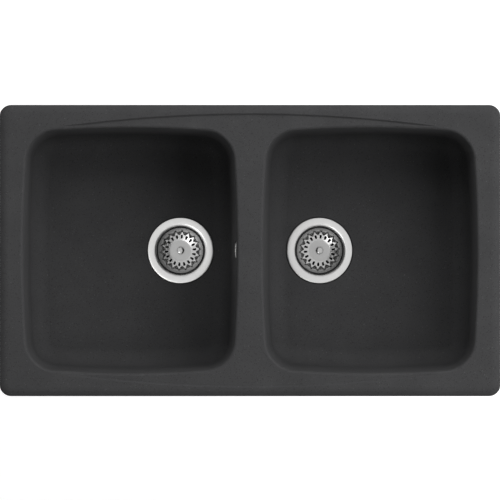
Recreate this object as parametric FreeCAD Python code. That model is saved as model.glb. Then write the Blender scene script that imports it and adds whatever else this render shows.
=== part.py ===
# Double bowl inset kitchen sink, moulded in dark stone composite, with its basket wastes, overflow and trap.
# Millimetres. +X runs along the sink, +Y to the back of the worktop, +Z up. The origin is the middle of the
# sink at the worktop's top face, which the rim's underside rests on.

import FreeCAD, Part
import math
import os

from FreeCAD import Vector

OUT = "parts"
AXIS_X = Vector(1, 0, 0)
AXIS_Y = Vector(0, 1, 0)
AXIS_Z = Vector(0, 0, 1)
LEFT = -1
RIGHT = 1
SIDES = {"left": LEFT, "right": RIGHT}

# Rim and deck
SINK_LENGTH = 860.0
SINK_WIDTH = 500.0
RIM_HEIGHT = 10.0
RIM_CORNER_RADIUS = 20.0
EDGE_CROWN_RADIUS = 22.0
EDGE_CROWN_ANGLE = 35.0
EDGE_NOSE_RADIUS = 6.0
EDGE_FLAT = 0.8
RECESS_DEPTH = 3.0
RECESS_MARGIN = 16.0
RECESS_ARC_RADIUS = 2375.0
RECESS_SLOPE_RUN = 3.0
RECESS_RAMP_START = 80.0
RECESS_RAMP = 36.0

# Bowls
SIDE_MARGIN = 36.0
FRONT_MARGIN = 35.0
DIVIDER = 36.0
BOWL_DEPTH = 200.0
BOWL_SIDE_BOW_RADIUS = 2480.0
BOWL_END_BOW_RADIUS = 1860.0
BOWL_CORNER_RADIUS = 58.0
ROLL_RADIUS = 5.5
ROLL_BREAK_ANGLE = 8.0
DRAFT_ANGLE = 3.0
FLOOR_FILLET = 32.0
FLOOR_DISH_RADIUS = 9000.0
WALL = 9.0

# Waste holes in the bowl floors
DRAIN_FROM_DIVIDER = 102.0
DRAIN_HOLE_GAP = 3.5
DRAIN_BOSS_MARGIN = 3.5
DRAIN_BOSS_HEIGHT = 2.0
SEAT_GAP = 1.5
SEAT_DEPTH = 3.0

# Seal and clips under the rim
SEAL_INSET = 3.0
SEAL_WIDTH = 6.0
SEAL_THICKNESS = 2.0
CLIP_INSET = 21.0
CLIP_BOSS_RADIUS = 7.0
CLIP_BOSS_HEIGHT = 14.0
CLIP_SCREW_RADIUS = 2.4
CLIP_SCREW_BITE = 11.0
CLIP_FROM_CORNER = 110.0
CLIP_FROM_MIDDLE = 110.0
CLIP_END_SPACING = 240.0
CLIP_HEAD_RADIUS = 5.0
CLIP_HEAD_HEIGHT = 3.4
CLIP_CROSS_WIDTH = 1.2
CLIP_CROSS_DEPTH = 1.6
CLAW_THICKNESS = 2.0
CLAW_BEND = 3.0
CLAW_TOOTH = 4.0
CLAW_WIDTH = 18.0
CLAW_DROP = 8.0
CLAW_INNER_REACH = 6.0
CLAW_OUTER_REACH = 19.0
WORKTOP_THICKNESS = 38.0

# Strainer cup
FLANGE_RADIUS = 57.0
LIP_RUN = 3.0
FLANGE_EDGE = 0.8
FLANGE_GASKET_INSET = 1.5
CUP_SHEET = 1.0
CUP_RADIUS = 41.5
CUP_LIP_DROP = 5.0
CUP_LIP_BEND = 1.5
CUP_DEPTH = 38.0
CUP_TAPER = 0.5
CUP_CORNER = 6.0
CUP_OPENING_RADIUS = 22.0
CUP_LEDGE = 2.0
CUP_HUB_RADIUS = 9.0
CUP_SPOKE_WIDTH = 5.0
CUP_SPOKES = 4

# Basket
BASKET_SHEET = 0.8
BASKET_GAP = 2.6
BASKET_RIM_DROP = 6.8
BASKET_LIP = 1.2
BASKET_RIM_WIDTH = 5.4
BASKET_SHOULDER_DROP = 9.2
BASKET_FLOOR_RADIUS = 20.0
BASKET_FLOOR_DROP = 21.5
SLOT_COUNT = 18
SLOT_START_ANGLE = 5.0
SLOT_WIDTH = 3.0
SLOT_START = 1.0
SLOT_LENGTH = 6.0
FLUTE_END = 0.3
FLUTE_ROOT_RADIUS = 2.4
FLUTE_TIP_SIZE = 0.3
BASKET_RING_SECTION = 1.0
RING_GAP = 0.35

# Knob, stem and plug
KNOB_RADIUS = 6.2
KNOB_HEIGHT = 6.5
KNOB_EDGE = 1.3
KNOB_NECK_RADIUS = 3.6
STEM_RADIUS = 2.4
PLUG_LAP = 5.5
PLUG_THICKNESS = 6.2
PLUG_SEAT_GAP = 0.3
PLUG_HOLLOW_RADIUS = 13.0
PLUG_TOP_THICKNESS = 2.6
STEM_HEAD_RADIUS = 5.0
STEM_HEAD_HEIGHT = 0.9
PLUG_LAND_RADIUS = 11.0
PLUG_CHAMFER = 1.6
PLUG_SKIRT = 6.0

# Waste body under each bowl
GASKET_THICKNESS = 2.0
BODY_FLANGE = 4.0
BODY_FLANGE_THICKNESS = 4.0
BODY_GAP = 3.5
BODY_WALL = 4.0
BODY_DEPTH = 36.0
BODY_FUNNEL = 14.0
BODY_HUB_RADIUS = 8.0
BODY_RIB = 4.0
SOCKET_WALL = 3.3
THREAD_LENGTH = 20.0
CLAMP_SCREW_RADIUS = 3.0
CLAMP_HEAD_RADIUS = 6.0
CLAMP_HEAD_HEIGHT = 2.2
NUT_HALF_FLATS = 5.0
NUT_HEIGHT = 5.0
SCREW_PAST_NUT = 2.0

# Pipes
PIPE_RADIUS = 20.0
PIPE_WALL = 2.0
SOCKET_FIT = 0.6
PIPE_IN_SOCKET = 12.0
BEND_RADIUS = 34.0
RUN_DROP = 24.0
TEE_NUT_GAP = 1.0
TEE_BELLY = 1.6
UNION_WALL = 5.1
UNION_BACK = 16.0
UNION_FRONT = 9.0
UNION_LIP = 3.0
UNION_RIBS = 12
UNION_RIB_WIDTH = 3.0
UNION_RIB_HEIGHT = 1.8
WASHER_LENGTH = 5.6
WASHER_CHAMFER = 2.2

# Bottle trap
TRAP_RADIUS = 35.0
TRAP_WALL = 2.5
TRAP_NECK = 18.0
TRAP_SHOULDER = 10.0
TRAP_LENGTH = 120.0
TRAP_OUTLET_DROP = 30.0
TRAP_OUTLET_GAP = 5.0
TRAP_LEDGE = 3.0
TRAP_THREAD_STEP = 2.0
TRAP_THREAD_LENGTH = 12.0
TRAP_CUP_WALL = 3.0
TRAP_CUP_HEIGHT = 38.0
TRAP_CUP_GRIPS = 16
TRAP_CUP_GRIP = 2.0
DIP_TUBE_STEP = 2.5
DIP_TUBE_WALL = 1.5
DIP_TUBE_COLLAR = 2.0
DIP_TUBE_LENGTH = 104.0
OUTLET_END = 205.0
OUTLET_BEAD = 1.5
OUTLET_BEAD_WIDTH = 3.0

# Overflow in the divider wall of the left bowl
OVERFLOW_DROP = 35.0
OVERFLOW_HOLE_RADIUS = 13.0
ROSETTE_LAP = 3.5
ROSETTE_EDGE = 1.0
ROSETTE_DOME = 2.0
ROSETTE_HOLES = 6
ROSETTE_HOLE_RADIUS = 2.3
ROSETTE_HOLE_INSET = 3.7
ROSETTE_SEAT_GAP = 0.5
ROSETTE_SEAT_BITE = 1.6
PAD_MARGIN = 1.0
PAD_HEIGHT = 2.0
OVERFLOW_SCREW_RADIUS = 2.4
OVERFLOW_HEAD_RADIUS = 4.4
OVERFLOW_HEAD_SINK = 1.4
OVERFLOW_SCREW_LENGTH = 20.0
ELBOW_FLANGE_LAP = 5.0
ELBOW_FLANGE = 2.5
ELBOW_STEP = 2.0
ELBOW_LENGTH = 17.0
ELBOW_WALL = 2.5
ELBOW_HUB_RADIUS = 4.5
SPIGOT_RADIUS = 8.0
SPIGOT_WALL = 2.0
SPIGOT_LENGTH = 30.0
INLET_DROP = 14.0
INLET_LENGTH = 24.0
BLANK_CAP_WALL = 2.5
BLANK_CAP_LENGTH = 14.0
BLANK_CAP_GRIPS = 10
BLANK_CAP_GRIP = 1.2

# Ribbed overflow hose
HOSE_RIB = 1.2
HOSE_WALL = 1.3
HOSE_FIT = 0.1
HOSE_OVERLAP = 15.0
HOSE_BEND_RADIUS = 38.0
HOSE_RIB_PITCH = 4.0
CLIP_BAND_WIDTH = 8.0
CLIP_BAND = 1.2
CLIP_EAR = 7.0
CLIP_GAP = 1.2
CLIP_BOLT_RADIUS = 1.4

# Clearances
FIT = 0.05
THREAD_FIT = 0.15
SLIDE_FIT = 0.3

# Sizes that follow from those they fit to
FLANGE_INNER_RADIUS = CUP_RADIUS + LIP_RUN
CUP_GRID_RADIUS = CUP_RADIUS - CUP_TAPER - CUP_CORNER - CUP_LEDGE
DRAIN_HOLE_RADIUS = CUP_RADIUS + DRAIN_HOLE_GAP
SEAT_RADIUS = FLANGE_RADIUS + SEAT_GAP
DRAIN_BOSS_RADIUS = SEAT_RADIUS + DRAIN_BOSS_MARGIN
BASKET_RIM_RADIUS = CUP_RADIUS - BASKET_GAP
BASKET_SHOULDER_RADIUS = BASKET_RIM_RADIUS - BASKET_RIM_WIDTH
FLUTE_TIP_RADIUS = BASKET_SHOULDER_RADIUS - FLUTE_END
SLOT_INNER_RADIUS = BASKET_FLOOR_RADIUS + SLOT_START
SLOT_OUTER_RADIUS = SLOT_INNER_RADIUS + SLOT_LENGTH
PLUG_RADIUS = CUP_OPENING_RADIUS + PLUG_LAP
BODY_RADIUS = CUP_RADIUS + CUP_SHEET + BODY_GAP + BODY_WALL
BODY_FLANGE_RADIUS = BODY_RADIUS + BODY_FLANGE
SOCKET_RADIUS = PIPE_RADIUS + SOCKET_FIT
THREAD_RADIUS = SOCKET_RADIUS + SOCKET_WALL
UNION_RADIUS = THREAD_RADIUS + UNION_WALL
TEE_HALF_LENGTH = UNION_RADIUS + UNION_BACK + TEE_NUT_GAP
TEE_BRANCH_DROP = PIPE_IN_SOCKET + UNION_FRONT + UNION_RADIUS
TRAP_OUTLET_REACH = TRAP_RADIUS + UNION_BACK + TRAP_OUTLET_GAP
DIP_TUBE_RADIUS = PIPE_RADIUS - DIP_TUBE_STEP
TRAP_THREAD_RADIUS = TRAP_RADIUS - TRAP_THREAD_STEP
ROSETTE_RADIUS = OVERFLOW_HOLE_RADIUS + ROSETTE_LAP
ROSETTE_SEAT_RADIUS = ROSETTE_RADIUS + ROSETTE_SEAT_GAP
ROSETTE_HOLE_CIRCLE = OVERFLOW_HOLE_RADIUS - ROSETTE_HOLE_INSET
ELBOW_RADIUS = OVERFLOW_HOLE_RADIUS + ELBOW_STEP
ELBOW_FLANGE_RADIUS = OVERFLOW_HOLE_RADIUS + ELBOW_FLANGE_LAP
PAD_RADIUS = ELBOW_FLANGE_RADIUS + PAD_MARGIN
SPIGOT_BORE = SPIGOT_RADIUS - SPIGOT_WALL
HOSE_BORE = SPIGOT_RADIUS + HOSE_FIT
HOSE_ROOT_RADIUS = HOSE_BORE + HOSE_WALL
HOSE_RADIUS = HOSE_ROOT_RADIUS + HOSE_RIB
HOSE_CUFF = 2 * HOSE_RADIUS

# Places that follow from the sizes above
DECK_TOP = RIM_HEIGHT
RECESS_TOP = DECK_TOP - RECESS_DEPTH
BOWL_LENGTH = (SINK_LENGTH - DIVIDER) / 2 - SIDE_MARGIN
BOWL_WIDTH = SINK_WIDTH - 2 * FRONT_MARGIN
BOWL_X = (DIVIDER + BOWL_LENGTH) / 2
DRAIN_X = DIVIDER / 2 + DRAIN_FROM_DIVIDER
FLOOR_Z = DECK_TOP - BOWL_DEPTH
SEAT_Z = FLOOR_Z - SEAT_DEPTH
BOSS_Z = FLOOR_Z - WALL - 1.0 - DRAIN_BOSS_HEIGHT
DRAFT = math.radians(DRAFT_ANGLE)
ROLL_BREAK = math.radians(ROLL_BREAK_ANGLE)
BODY_TOP = BOSS_Z - GASKET_THICKNESS
BODY_FLOOR = BODY_TOP - BODY_DEPTH
THREAD_TOP = BODY_FLOOR - BODY_FUNNEL
THREAD_END = THREAD_TOP - THREAD_LENGTH
RUN_Z = THREAD_END - RUN_DROP - BEND_RADIUS
CUP_FLOOR = FLOOR_Z - CUP_DEPTH
BASKET_FLOOR = FLOOR_Z - BASKET_FLOOR_DROP
PLUG_BOTTOM = CUP_FLOOR + PLUG_SEAT_GAP
PLUG_TOP = PLUG_BOTTOM + PLUG_THICKNESS
INLET_Z = BODY_TOP - INLET_DROP
TRAP_TOP = RUN_Z - TEE_BRANCH_DROP + PIPE_IN_SOCKET
TRAP_SHOULDER_Z = TRAP_TOP - TRAP_NECK
TRAP_BOTTOM = TRAP_SHOULDER_Z - TRAP_LENGTH
TRAP_OUTLET_Z = TRAP_SHOULDER_Z - TRAP_OUTLET_DROP
DIP_TUBE_TOP = TRAP_TOP - PIPE_IN_SOCKET - FIT
LEDGE_Z = DIP_TUBE_TOP - DIP_TUBE_COLLAR - FIT


# ---- outlines, profiles and solids ----

def rounded(points):
    """Path items of a polyline in which a point (a, b, radius) is a rounded corner."""
    items = []
    for i, point in enumerate(points):
        here = Vector(point[0], point[1], 0)
        if len(point) < 3 or i in (0, len(points) - 1):
            items.append((here.x, here.y))
            continue
        before = (Vector(points[i - 1][0], points[i - 1][1], 0) - here).normalize()
        after = (Vector(points[i + 1][0], points[i + 1][1], 0) - here).normalize()
        half = before.getAngle(after) / 2
        bisector = (before + after).normalize()
        centre = here + bisector * (point[2] / math.sin(half))
        start = here + before * (point[2] / math.tan(half))
        end = here + after * (point[2] / math.tan(half))
        middle = centre - bisector * point[2]
        items.append((start.x, start.y))
        items.append((middle.x, middle.y, end.x, end.y))
    return items


def strip(points, thickness):
    """Closed path of a bent sheet: the polyline and its copy, offset by thickness to the polyline's right."""
    lines = []
    for a, b in zip(points, points[1:]):
        along = Vector(b[0] - a[0], b[1] - a[1], 0).normalize()
        aside = Vector(along.y, -along.x, 0) * thickness
        lines.append((Vector(a[0], a[1], 0) + aside, along))
    copy = [(lines[0][0].x, lines[0][0].y)]
    for i in range(1, len(lines)):
        (p, u), (q, v) = lines[i - 1], lines[i]
        cross = u.x * v.y - u.y * v.x
        reach = ((q.x - p.x) * v.y - (q.y - p.y) * v.x) / cross
        corner = p + u * reach
        radius = points[i][2] if len(points[i]) > 2 else 0
        radius = radius + math.copysign(thickness, cross) if radius else 0
        copy.append((corner.x, corner.y, radius) if radius > 0 else (corner.x, corner.y))
    last = Vector(points[-1][0], points[-1][1], 0)
    end = last + Vector(lines[-1][1].y, -lines[-1][1].x, 0) * thickness
    copy.append((end.x, end.y))
    return rounded(points) + rounded(list(reversed(copy)))


def flat(a, b):
    """The plane that turned profiles are drawn in: a is the radius and b the height."""
    return Vector(a, 0, b)


def dome(radius, low, top):
    """The path item of a spherical cap from its edge (radius, low) up to the axis at top."""
    rise = top - low
    sphere = (radius ** 2 + rise ** 2) / (2 * rise)
    half = math.asin(radius / sphere) / 2
    return (sphere * math.sin(half), top - sphere * (1 - math.cos(half)), 0, top)


def wire_of(items, place=flat, closed=True):
    """A wire through path items: (a, b) is a line to that point, (a, b, c, d) an arc by (a, b) to (c, d)."""
    edges = []
    start = items[0]
    here = place(*start)
    for item in list(items[1:]) + ([start] if closed else []):
        end = place(*item[-2:])
        if here.distanceToPoint(end) > 1e-7:
            if len(item) == 4:
                edges.append(Part.Arc(here, place(*item[:2]), end).toShape())
            else:
                edges.append(Part.makeLine(here, end))
        here = end
    return Part.Wire(edges)


def turned(items, x=0.0, y=0.0):
    """A solid turned about the vertical through (x, y) from a closed profile of radius and height."""
    solid = Part.Face(wire_of(items)).revolve(Vector(0, 0, 0), AXIS_Z, 360)
    solid.translate(Vector(x, y, 0))
    return solid


def rod(radius, base, direction, length):
    return Part.makeCylinder(radius, length, base, direction)


def ring(outer, inner, base, direction, length):
    return rod(outer, base, direction, length).cut(rod(inner, base, direction, length))


def block(low, high):
    size = Vector(*high) - Vector(*low)
    return Part.makeBox(size.x, size.y, size.z, Vector(*low))


def turned_copies(shape, count, centre=Vector(0, 0, 0), axis=AXIS_Z):
    """The shape repeated round an axis."""
    copies = []
    for i in range(count):
        copy = shape.copy()
        copy.rotate(centre, axis, 360.0 * i / count)
        copies.append(copy)
    return copies


def stood(shape, base, direction):
    """A shape made about +Z at the origin, moved so that +Z points along direction from base."""
    shape = shape.copy()
    shape.Placement = FreeCAD.Placement(base, FreeCAD.Rotation(AXIS_Z, direction)).multiply(shape.Placement)
    return shape


def bowed_outline(centre_x, half_x, half_y, side_radius, end_radius, corner_radius):
    """The eight arcs, counter-clockwise, of a rectangle whose sides bow outwards."""
    side = Vector(half_x - side_radius, 0, 0)
    end = Vector(0, half_y - end_radius, 0)
    to_side = side_radius - corner_radius
    to_end = end_radius - corner_radius
    apart = (end - side).Length
    along = (end - side).normalize()
    step = (to_side ** 2 - to_end ** 2 + apart ** 2) / (2 * apart)
    aside = math.sqrt(to_side ** 2 - step ** 2)
    corner = side + along * step + Vector(along.y, -along.x, 0) * aside
    if corner.x < 0:
        corner = side + along * step - Vector(along.y, -along.x, 0) * aside
    side_angle = math.degrees(math.atan2(corner.y, corner.x - side.x))
    end_angle = math.degrees(math.atan2(corner.y - end.y, corner.x))
    arcs = []
    for turn in (0, 180):
        sign = 1 if turn == 0 else -1
        arcs += [
            (side.x * sign, 0, side_radius, turn - side_angle, turn + side_angle),
            (corner.x * sign, corner.y * sign, corner_radius, turn + side_angle, turn + end_angle),
            (0, end.y * sign, end_radius, turn + end_angle, turn + 180 - end_angle),
            (-corner.x * sign, corner.y * sign, corner_radius, turn + 180 - end_angle, turn + 180 - side_angle),
        ]
    return [(centre_x + x, y, radius, start, stop) for x, y, radius, start, stop in arcs]


def corner_outline(half_x, half_y, radius):
    """Lines and corner arcs, counter-clockwise, of a plain rounded rectangle."""
    x = half_x - radius
    y = half_y - radius
    centres = [(x, y), (-x, y), (-x, -y), (x, -y)]
    ends = [
        (half_x, -y, half_x, y), (x, half_y, -x, half_y),
        (-half_x, y, -half_x, -y), (-x, -half_y, x, -half_y),
    ]
    pieces = []
    for i in range(4):
        pieces.append(ends[i])
        pieces.append((centres[i][0], centres[i][1], radius, 90.0 * i, 90.0 * (i + 1)))
    return pieces


def outline_wire(pieces, offset, z):
    """The outline moved outwards by offset, at height z."""
    edges = []
    for piece in pieces:
        if len(piece) == 5:
            x, y, radius, start, stop = piece
            points = []
            for angle in (start, (start + stop) / 2, stop):
                turn = math.radians(angle)
                reach = radius + offset
                points.append(Vector(x + reach * math.cos(turn), y + reach * math.sin(turn), z))
            edges.append(Part.Arc(*points).toShape())
        else:
            along = Vector(piece[2] - piece[0], piece[3] - piece[1], 0).normalize()
            aside = Vector(along.y, -along.x, 0) * offset
            start = Vector(piece[0], piece[1], z) + aside
            end = Vector(piece[2], piece[3], z) + aside
            edges.append(Part.makeLine(start, end))
    return Part.Wire(edges)


def swept(pieces, items, closed=True):
    """A profile of offset and height carried round an outline: solids if it is closed, faces if it is open."""
    made = []
    for piece in pieces:
        if len(piece) == 5:
            x, y, radius, start, stop = piece
            turn = math.radians(start)
            base = Vector(x, y, 0)
            out = Vector(math.cos(turn), math.sin(turn), 0)

            def place(a, b):
                return base + out * (radius + a) + AXIS_Z * b

            wire = wire_of(items, place, closed)
            made.append((Part.Face(wire) if closed else wire).revolve(base, AXIS_Z, stop - start))
        else:
            along = Vector(piece[2] - piece[0], piece[3] - piece[1], 0)
            base = Vector(piece[0], piece[1], 0)
            out = Vector(along.y, -along.x, 0).normalize()

            def place(a, b):
                return base + out * a + AXIS_Z * b

            wire = wire_of(items, place, closed)
            made.append((Part.Face(wire) if closed else wire).extrude(along))
    return made


def fused(shapes):
    return shapes[0].multiFuse(shapes[1:]).removeSplitter()


def prism(pieces, offset, low, high):
    return Part.Face(outline_wire(pieces, offset, low)).extrude(AXIS_Z * (high - low))


# ---- the moulded sink ----

def wall_offset(z):
    """How far the bowl's wall stands from its rim outline at height z."""
    roll_x = ROLL_RADIUS * math.sin(ROLL_BREAK)
    roll_z = DECK_TOP - ROLL_RADIUS * math.cos(ROLL_BREAK)
    top_x = roll_x - ROLL_RADIUS * math.cos(DRAFT)
    top_z = roll_z + ROLL_RADIUS * math.sin(DRAFT)
    return top_x - (top_z - z) * math.tan(DRAFT)


def bowl_outline(side):
    return bowed_outline(
        side * BOWL_X, BOWL_LENGTH / 2, BOWL_WIDTH / 2,
        BOWL_SIDE_BOW_RADIUS, BOWL_END_BOW_RADIUS, BOWL_CORNER_RADIUS,
    )


def dished_tub(side, grow, top, floor, dish_radius, fillet):
    """A tapered tub inside the bowl's outline, grown outwards, on a floor dished towards the drain."""
    pieces = bowl_outline(side)
    low = floor - 20
    taper = [(wall_offset(top) + grow, top), (wall_offset(low) + grow, low)]
    faces = []
    for shell in swept(pieces, taper, closed=False):
        faces += shell.Faces
    faces.append(Part.Face(outline_wire(pieces, taper[0][0], top)))
    faces.append(Part.Face(outline_wire(pieces, taper[1][0], low)))
    shell = Part.makeShell(faces)
    shell.sewShape()
    tub = Part.makeSolid(shell)
    reach = BOWL_LENGTH + BOWL_WIDTH / 2
    rise = dish_radius - math.sqrt(dish_radius ** 2 - reach ** 2)
    half_rise = dish_radius - math.sqrt(dish_radius ** 2 - (reach / 2) ** 2)
    dish = turned(
        [(0, floor), (reach / 2, floor + half_rise, reach, floor + rise), (reach, top + 1), (0, top + 1)],
        side * DRAIN_X,
    )
    tub = tub.common(dish)
    edges = [e for e in tub.Edges if e.BoundBox.ZMax < floor + FLOOR_FILLET / 2 and e.BoundBox.ZMax < top - 30]
    edges = [e for e in edges if abs(e.BoundBox.ZMin - low) > 1 and e.Length > 1]
    return tub.makeFillet(fillet, edges)


def roll_tool(side, level):
    """The rounding from a deck at this level down into the bowl's wall, as a ring to cut away."""
    shift = DECK_TOP - level
    centre_a = ROLL_RADIUS * math.sin(ROLL_BREAK) - shift * math.tan(DRAFT)
    centre_b = level - ROLL_RADIUS * math.cos(ROLL_BREAK)
    end_a = centre_a - ROLL_RADIUS * math.cos(DRAFT)
    end_b = centre_b + ROLL_RADIUS * math.sin(DRAFT)
    middle = math.radians(45) + DRAFT / 2
    mid_a = centre_a - ROLL_RADIUS * math.cos(middle)
    mid_b = centre_b + ROLL_RADIUS * math.sin(middle)
    top = level + 4
    inner = end_a - 6
    profile = [
        (centre_a, centre_b + ROLL_RADIUS), (mid_a, mid_b, end_a, end_b),
        (inner, end_b), (inner, top), (centre_a, top),
    ]
    return fused(swept(bowl_outline(side), profile))


def lens(low):
    """The space above low between the two long arcs, whose sides slope down to the recess."""
    top = DECK_TOP + RECESS_DEPTH
    slope = RECESS_SLOPE_RUN / RECESS_DEPTH
    foot = RECESS_ARC_RADIUS - RECESS_SLOPE_RUN / 2 + (low - RECESS_TOP) * slope
    head = foot + (top - low) * slope
    inner = RECESS_ARC_RADIUS - SINK_WIDTH
    half_angle = math.degrees(math.asin(SINK_LENGTH / 2 / RECESS_ARC_RADIUS))
    halves = []
    for sign in (1, -1):
        base = Vector(0, sign * (SINK_WIDTH / 2 - RECESS_MARGIN - RECESS_ARC_RADIUS), 0)
        start = math.radians(90 * sign - half_angle)
        out = Vector(math.cos(start), math.sin(start), 0)

        def place(a, b):
            return base + out * a + AXIS_Z * b

        face = Part.Face(wire_of([(inner, low), (foot, low), (head, top), (inner, top)], place))
        halves.append(face.revolve(base, AXIS_Z, 2 * half_angle))
    return halves[0].common(halves[1])


def recess_tools():
    """What lowers the deck between the long arcs: a flat floor that ramps up near the outer corners, and
    the bowls' rolled edges at that lower level and along the ramps."""
    ramp_start = BOWL_X + RECESS_RAMP_START
    rise = 2 * RECESS_DEPTH
    far = ramp_start + RECESS_RAMP * rise / RECESS_DEPTH
    top = RECESS_TOP + rise
    profile = [(-ramp_start, RECESS_TOP), (ramp_start, RECESS_TOP), (far, top), (-far, top)]
    floor = Part.Face(wire_of(profile, flat)).extrude(AXIS_Y * SINK_WIDTH)
    floor.translate(AXIS_Y * (-SINK_WIDTH / 2))
    tools = [lens(RECESS_TOP).common(floor)]
    low = RECESS_TOP - ROLL_RADIUS - 1
    space = lens(low)
    high = DECK_TOP + RECESS_DEPTH
    level = block((-ramp_start, -SINK_WIDTH, low), (ramp_start, SINK_WIDTH, high))
    for side in SIDES.values():
        roll = roll_tool(side, RECESS_TOP)
        tools.append(roll.common(space).common(level))
        start = side * ramp_start
        end = start + side * RECESS_RAMP
        ramp = block((min(start, end), -SINK_WIDTH, low), (max(start, end), SINK_WIDTH, high))
        climb = side * RECESS_DEPTH / RECESS_RAMP
        rising = FreeCAD.Matrix(1, 0, 0, 0, 0, 1, 0, 0, climb, 0, 1, -climb * start, 0, 0, 0, 1)
        tools.append(roll.transformGeometry(rising).common(space).common(ramp))
    return tools


def deck():
    crown = math.radians(EDGE_CROWN_ANGLE)
    half = crown / 2
    crown_run = EDGE_CROWN_RADIUS * math.sin(crown)
    nose_run = EDGE_NOSE_RADIUS * (1 - math.sin(crown))
    start = -(crown_run + nose_run)
    inner = start - EDGE_FLAT
    crown_base = DECK_TOP - EDGE_CROWN_RADIUS
    crown_end = (start + crown_run, crown_base + EDGE_CROWN_RADIUS * math.cos(crown))
    crown_middle = (start + EDGE_CROWN_RADIUS * math.sin(half), crown_base + EDGE_CROWN_RADIUS * math.cos(half))
    nose = (-EDGE_NOSE_RADIUS, crown_end[1] - EDGE_NOSE_RADIUS * math.cos(crown))
    nose_turn = (crown + math.pi / 2) / 2
    nose_middle = (
        nose[0] + EDGE_NOSE_RADIUS * math.sin(nose_turn), nose[1] + EDGE_NOSE_RADIUS * math.cos(nose_turn)
    )
    profile = [
        (inner, 0), (0, 0), (0, nose[1]), (*nose_middle, *crown_end), (*crown_middle, start, DECK_TOP),
        (inner, DECK_TOP),
    ]
    outline = corner_outline(SINK_LENGTH / 2, SINK_WIDTH / 2, RIM_CORNER_RADIUS)
    return fused(swept(outline, profile) + [prism(outline, inner, 0, DECK_TOP)])


def clip_places():
    """Each clip's place under the rim and the way it faces, outwards."""
    places = []
    for sign in (1, -1):
        for x in (CLIP_FROM_MIDDLE, SINK_LENGTH / 2 - CLIP_FROM_CORNER):
            for end in (1, -1):
                places.append((Vector(x * end, sign * (SINK_WIDTH / 2 - CLIP_INSET), 0), Vector(0, sign, 0)))
        for y in (CLIP_END_SPACING / 2, -CLIP_END_SPACING / 2):
            places.append((Vector(sign * (SINK_LENGTH / 2 - CLIP_INSET), y, 0), Vector(sign, 0, 0)))
    return places


def overflow_z():
    return RECESS_TOP - OVERFLOW_DROP


def divider_wall_x():
    """The left bowl's wall beside the divider, at the overflow's height."""
    return -DIVIDER / 2 + wall_offset(overflow_z())


def rosette_seat_x():
    return divider_wall_x() + ROSETTE_SEAT_BITE


def pad_x():
    return divider_wall_x() + WALL + PAD_HEIGHT


def seal_groove():
    outline = corner_outline(SINK_LENGTH / 2, SINK_WIDTH / 2, RIM_CORNER_RADIUS)
    outer = prism(outline, -SEAL_INSET, 0, SEAL_THICKNESS)
    return outer.cut(prism(outline, -SEAL_INSET - SEAL_WIDTH, 0, SEAL_THICKNESS))


def sink_body():
    solids = [deck()]
    for side in SIDES.values():
        solids.append(dished_tub(
            side, WALL / math.cos(DRAFT), DECK_TOP - ROLL_RADIUS / 2, FLOOR_Z - WALL - 1,
            FLOOR_DISH_RADIUS + WALL + 1, FLOOR_FILLET + WALL,
        ))
        solids.append(rod(DRAIN_BOSS_RADIUS, Vector(side * DRAIN_X, 0, BOSS_Z), AXIS_Z, SEAT_DEPTH + WALL))
    for place, _ in clip_places():
        solids.append(rod(CLIP_BOSS_RADIUS, place - AXIS_Z * CLIP_BOSS_HEIGHT, AXIS_Z, CLIP_BOSS_HEIGHT + 1))
    pad_base = Vector(divider_wall_x() + WALL / 2, 0, overflow_z())
    solids.append(rod(PAD_RADIUS, pad_base, AXIS_X, WALL / 2 + PAD_HEIGHT))
    body = fused(solids)
    tools = []
    for side in SIDES.values():
        tools.append(dished_tub(side, 0, DECK_TOP + 3, FLOOR_Z, FLOOR_DISH_RADIUS, FLOOR_FILLET))
        tools.append(rod(DRAIN_HOLE_RADIUS, Vector(side * DRAIN_X, 0, BOSS_Z - 5), AXIS_Z, 60))
        tools.append(rod(SEAT_RADIUS, Vector(side * DRAIN_X, 0, SEAT_Z), AXIS_Z, 20))
    for place, _ in clip_places():
        base = place - AXIS_Z * (CLIP_BOSS_HEIGHT + 1)
        tools.append(rod(CLIP_SCREW_RADIUS + FIT, base, AXIS_Z, CLIP_SCREW_BITE + 2))
    seat = rosette_seat_x()
    tools.append(rod(OVERFLOW_HOLE_RADIUS, Vector(seat - 10, 0, overflow_z()), AXIS_X, 30))
    tools.append(rod(ROSETTE_SEAT_RADIUS, Vector(seat - 10, 0, overflow_z()), AXIS_X, 10))
    tools.append(seal_groove())
    body = body.cut(tools)
    for side in SIDES.values():
        body = body.cut(roll_tool(side, DECK_TOP))
    for tool in recess_tools():
        body = body.cut(tool)
    return body.removeSplitter()


# ---- seal and clips under the rim ----

def rim_seal():
    return seal_groove()


def clip_claws():
    top = -WORKTOP_THICKNESS - SLIDE_FIT
    plate = top - CLAW_DROP
    points = [
        (-CLAW_INNER_REACH, -CLIP_BOSS_HEIGHT - FIT),
        (-CLAW_INNER_REACH, plate, CLAW_BEND),
        (CLAW_OUTER_REACH - CLAW_TOOTH, plate, CLAW_BEND),
        (CLAW_OUTER_REACH, top),
    ]
    claws = []
    for place, out in clip_places():
        aside = Vector(-out.y, out.x, 0)

        def spot(a, b):
            return place + out * a + AXIS_Z * b - aside * (CLAW_WIDTH / 2)

        claw = Part.Face(wire_of(strip(points, CLAW_THICKNESS), spot)).extrude(aside * CLAW_WIDTH)
        hole = rod(CLIP_SCREW_RADIUS + SLIDE_FIT, place + AXIS_Z * (plate - 10), AXIS_Z, 20)
        claws.append(claw.cut(hole))
    return Part.makeCompound(claws)


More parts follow.
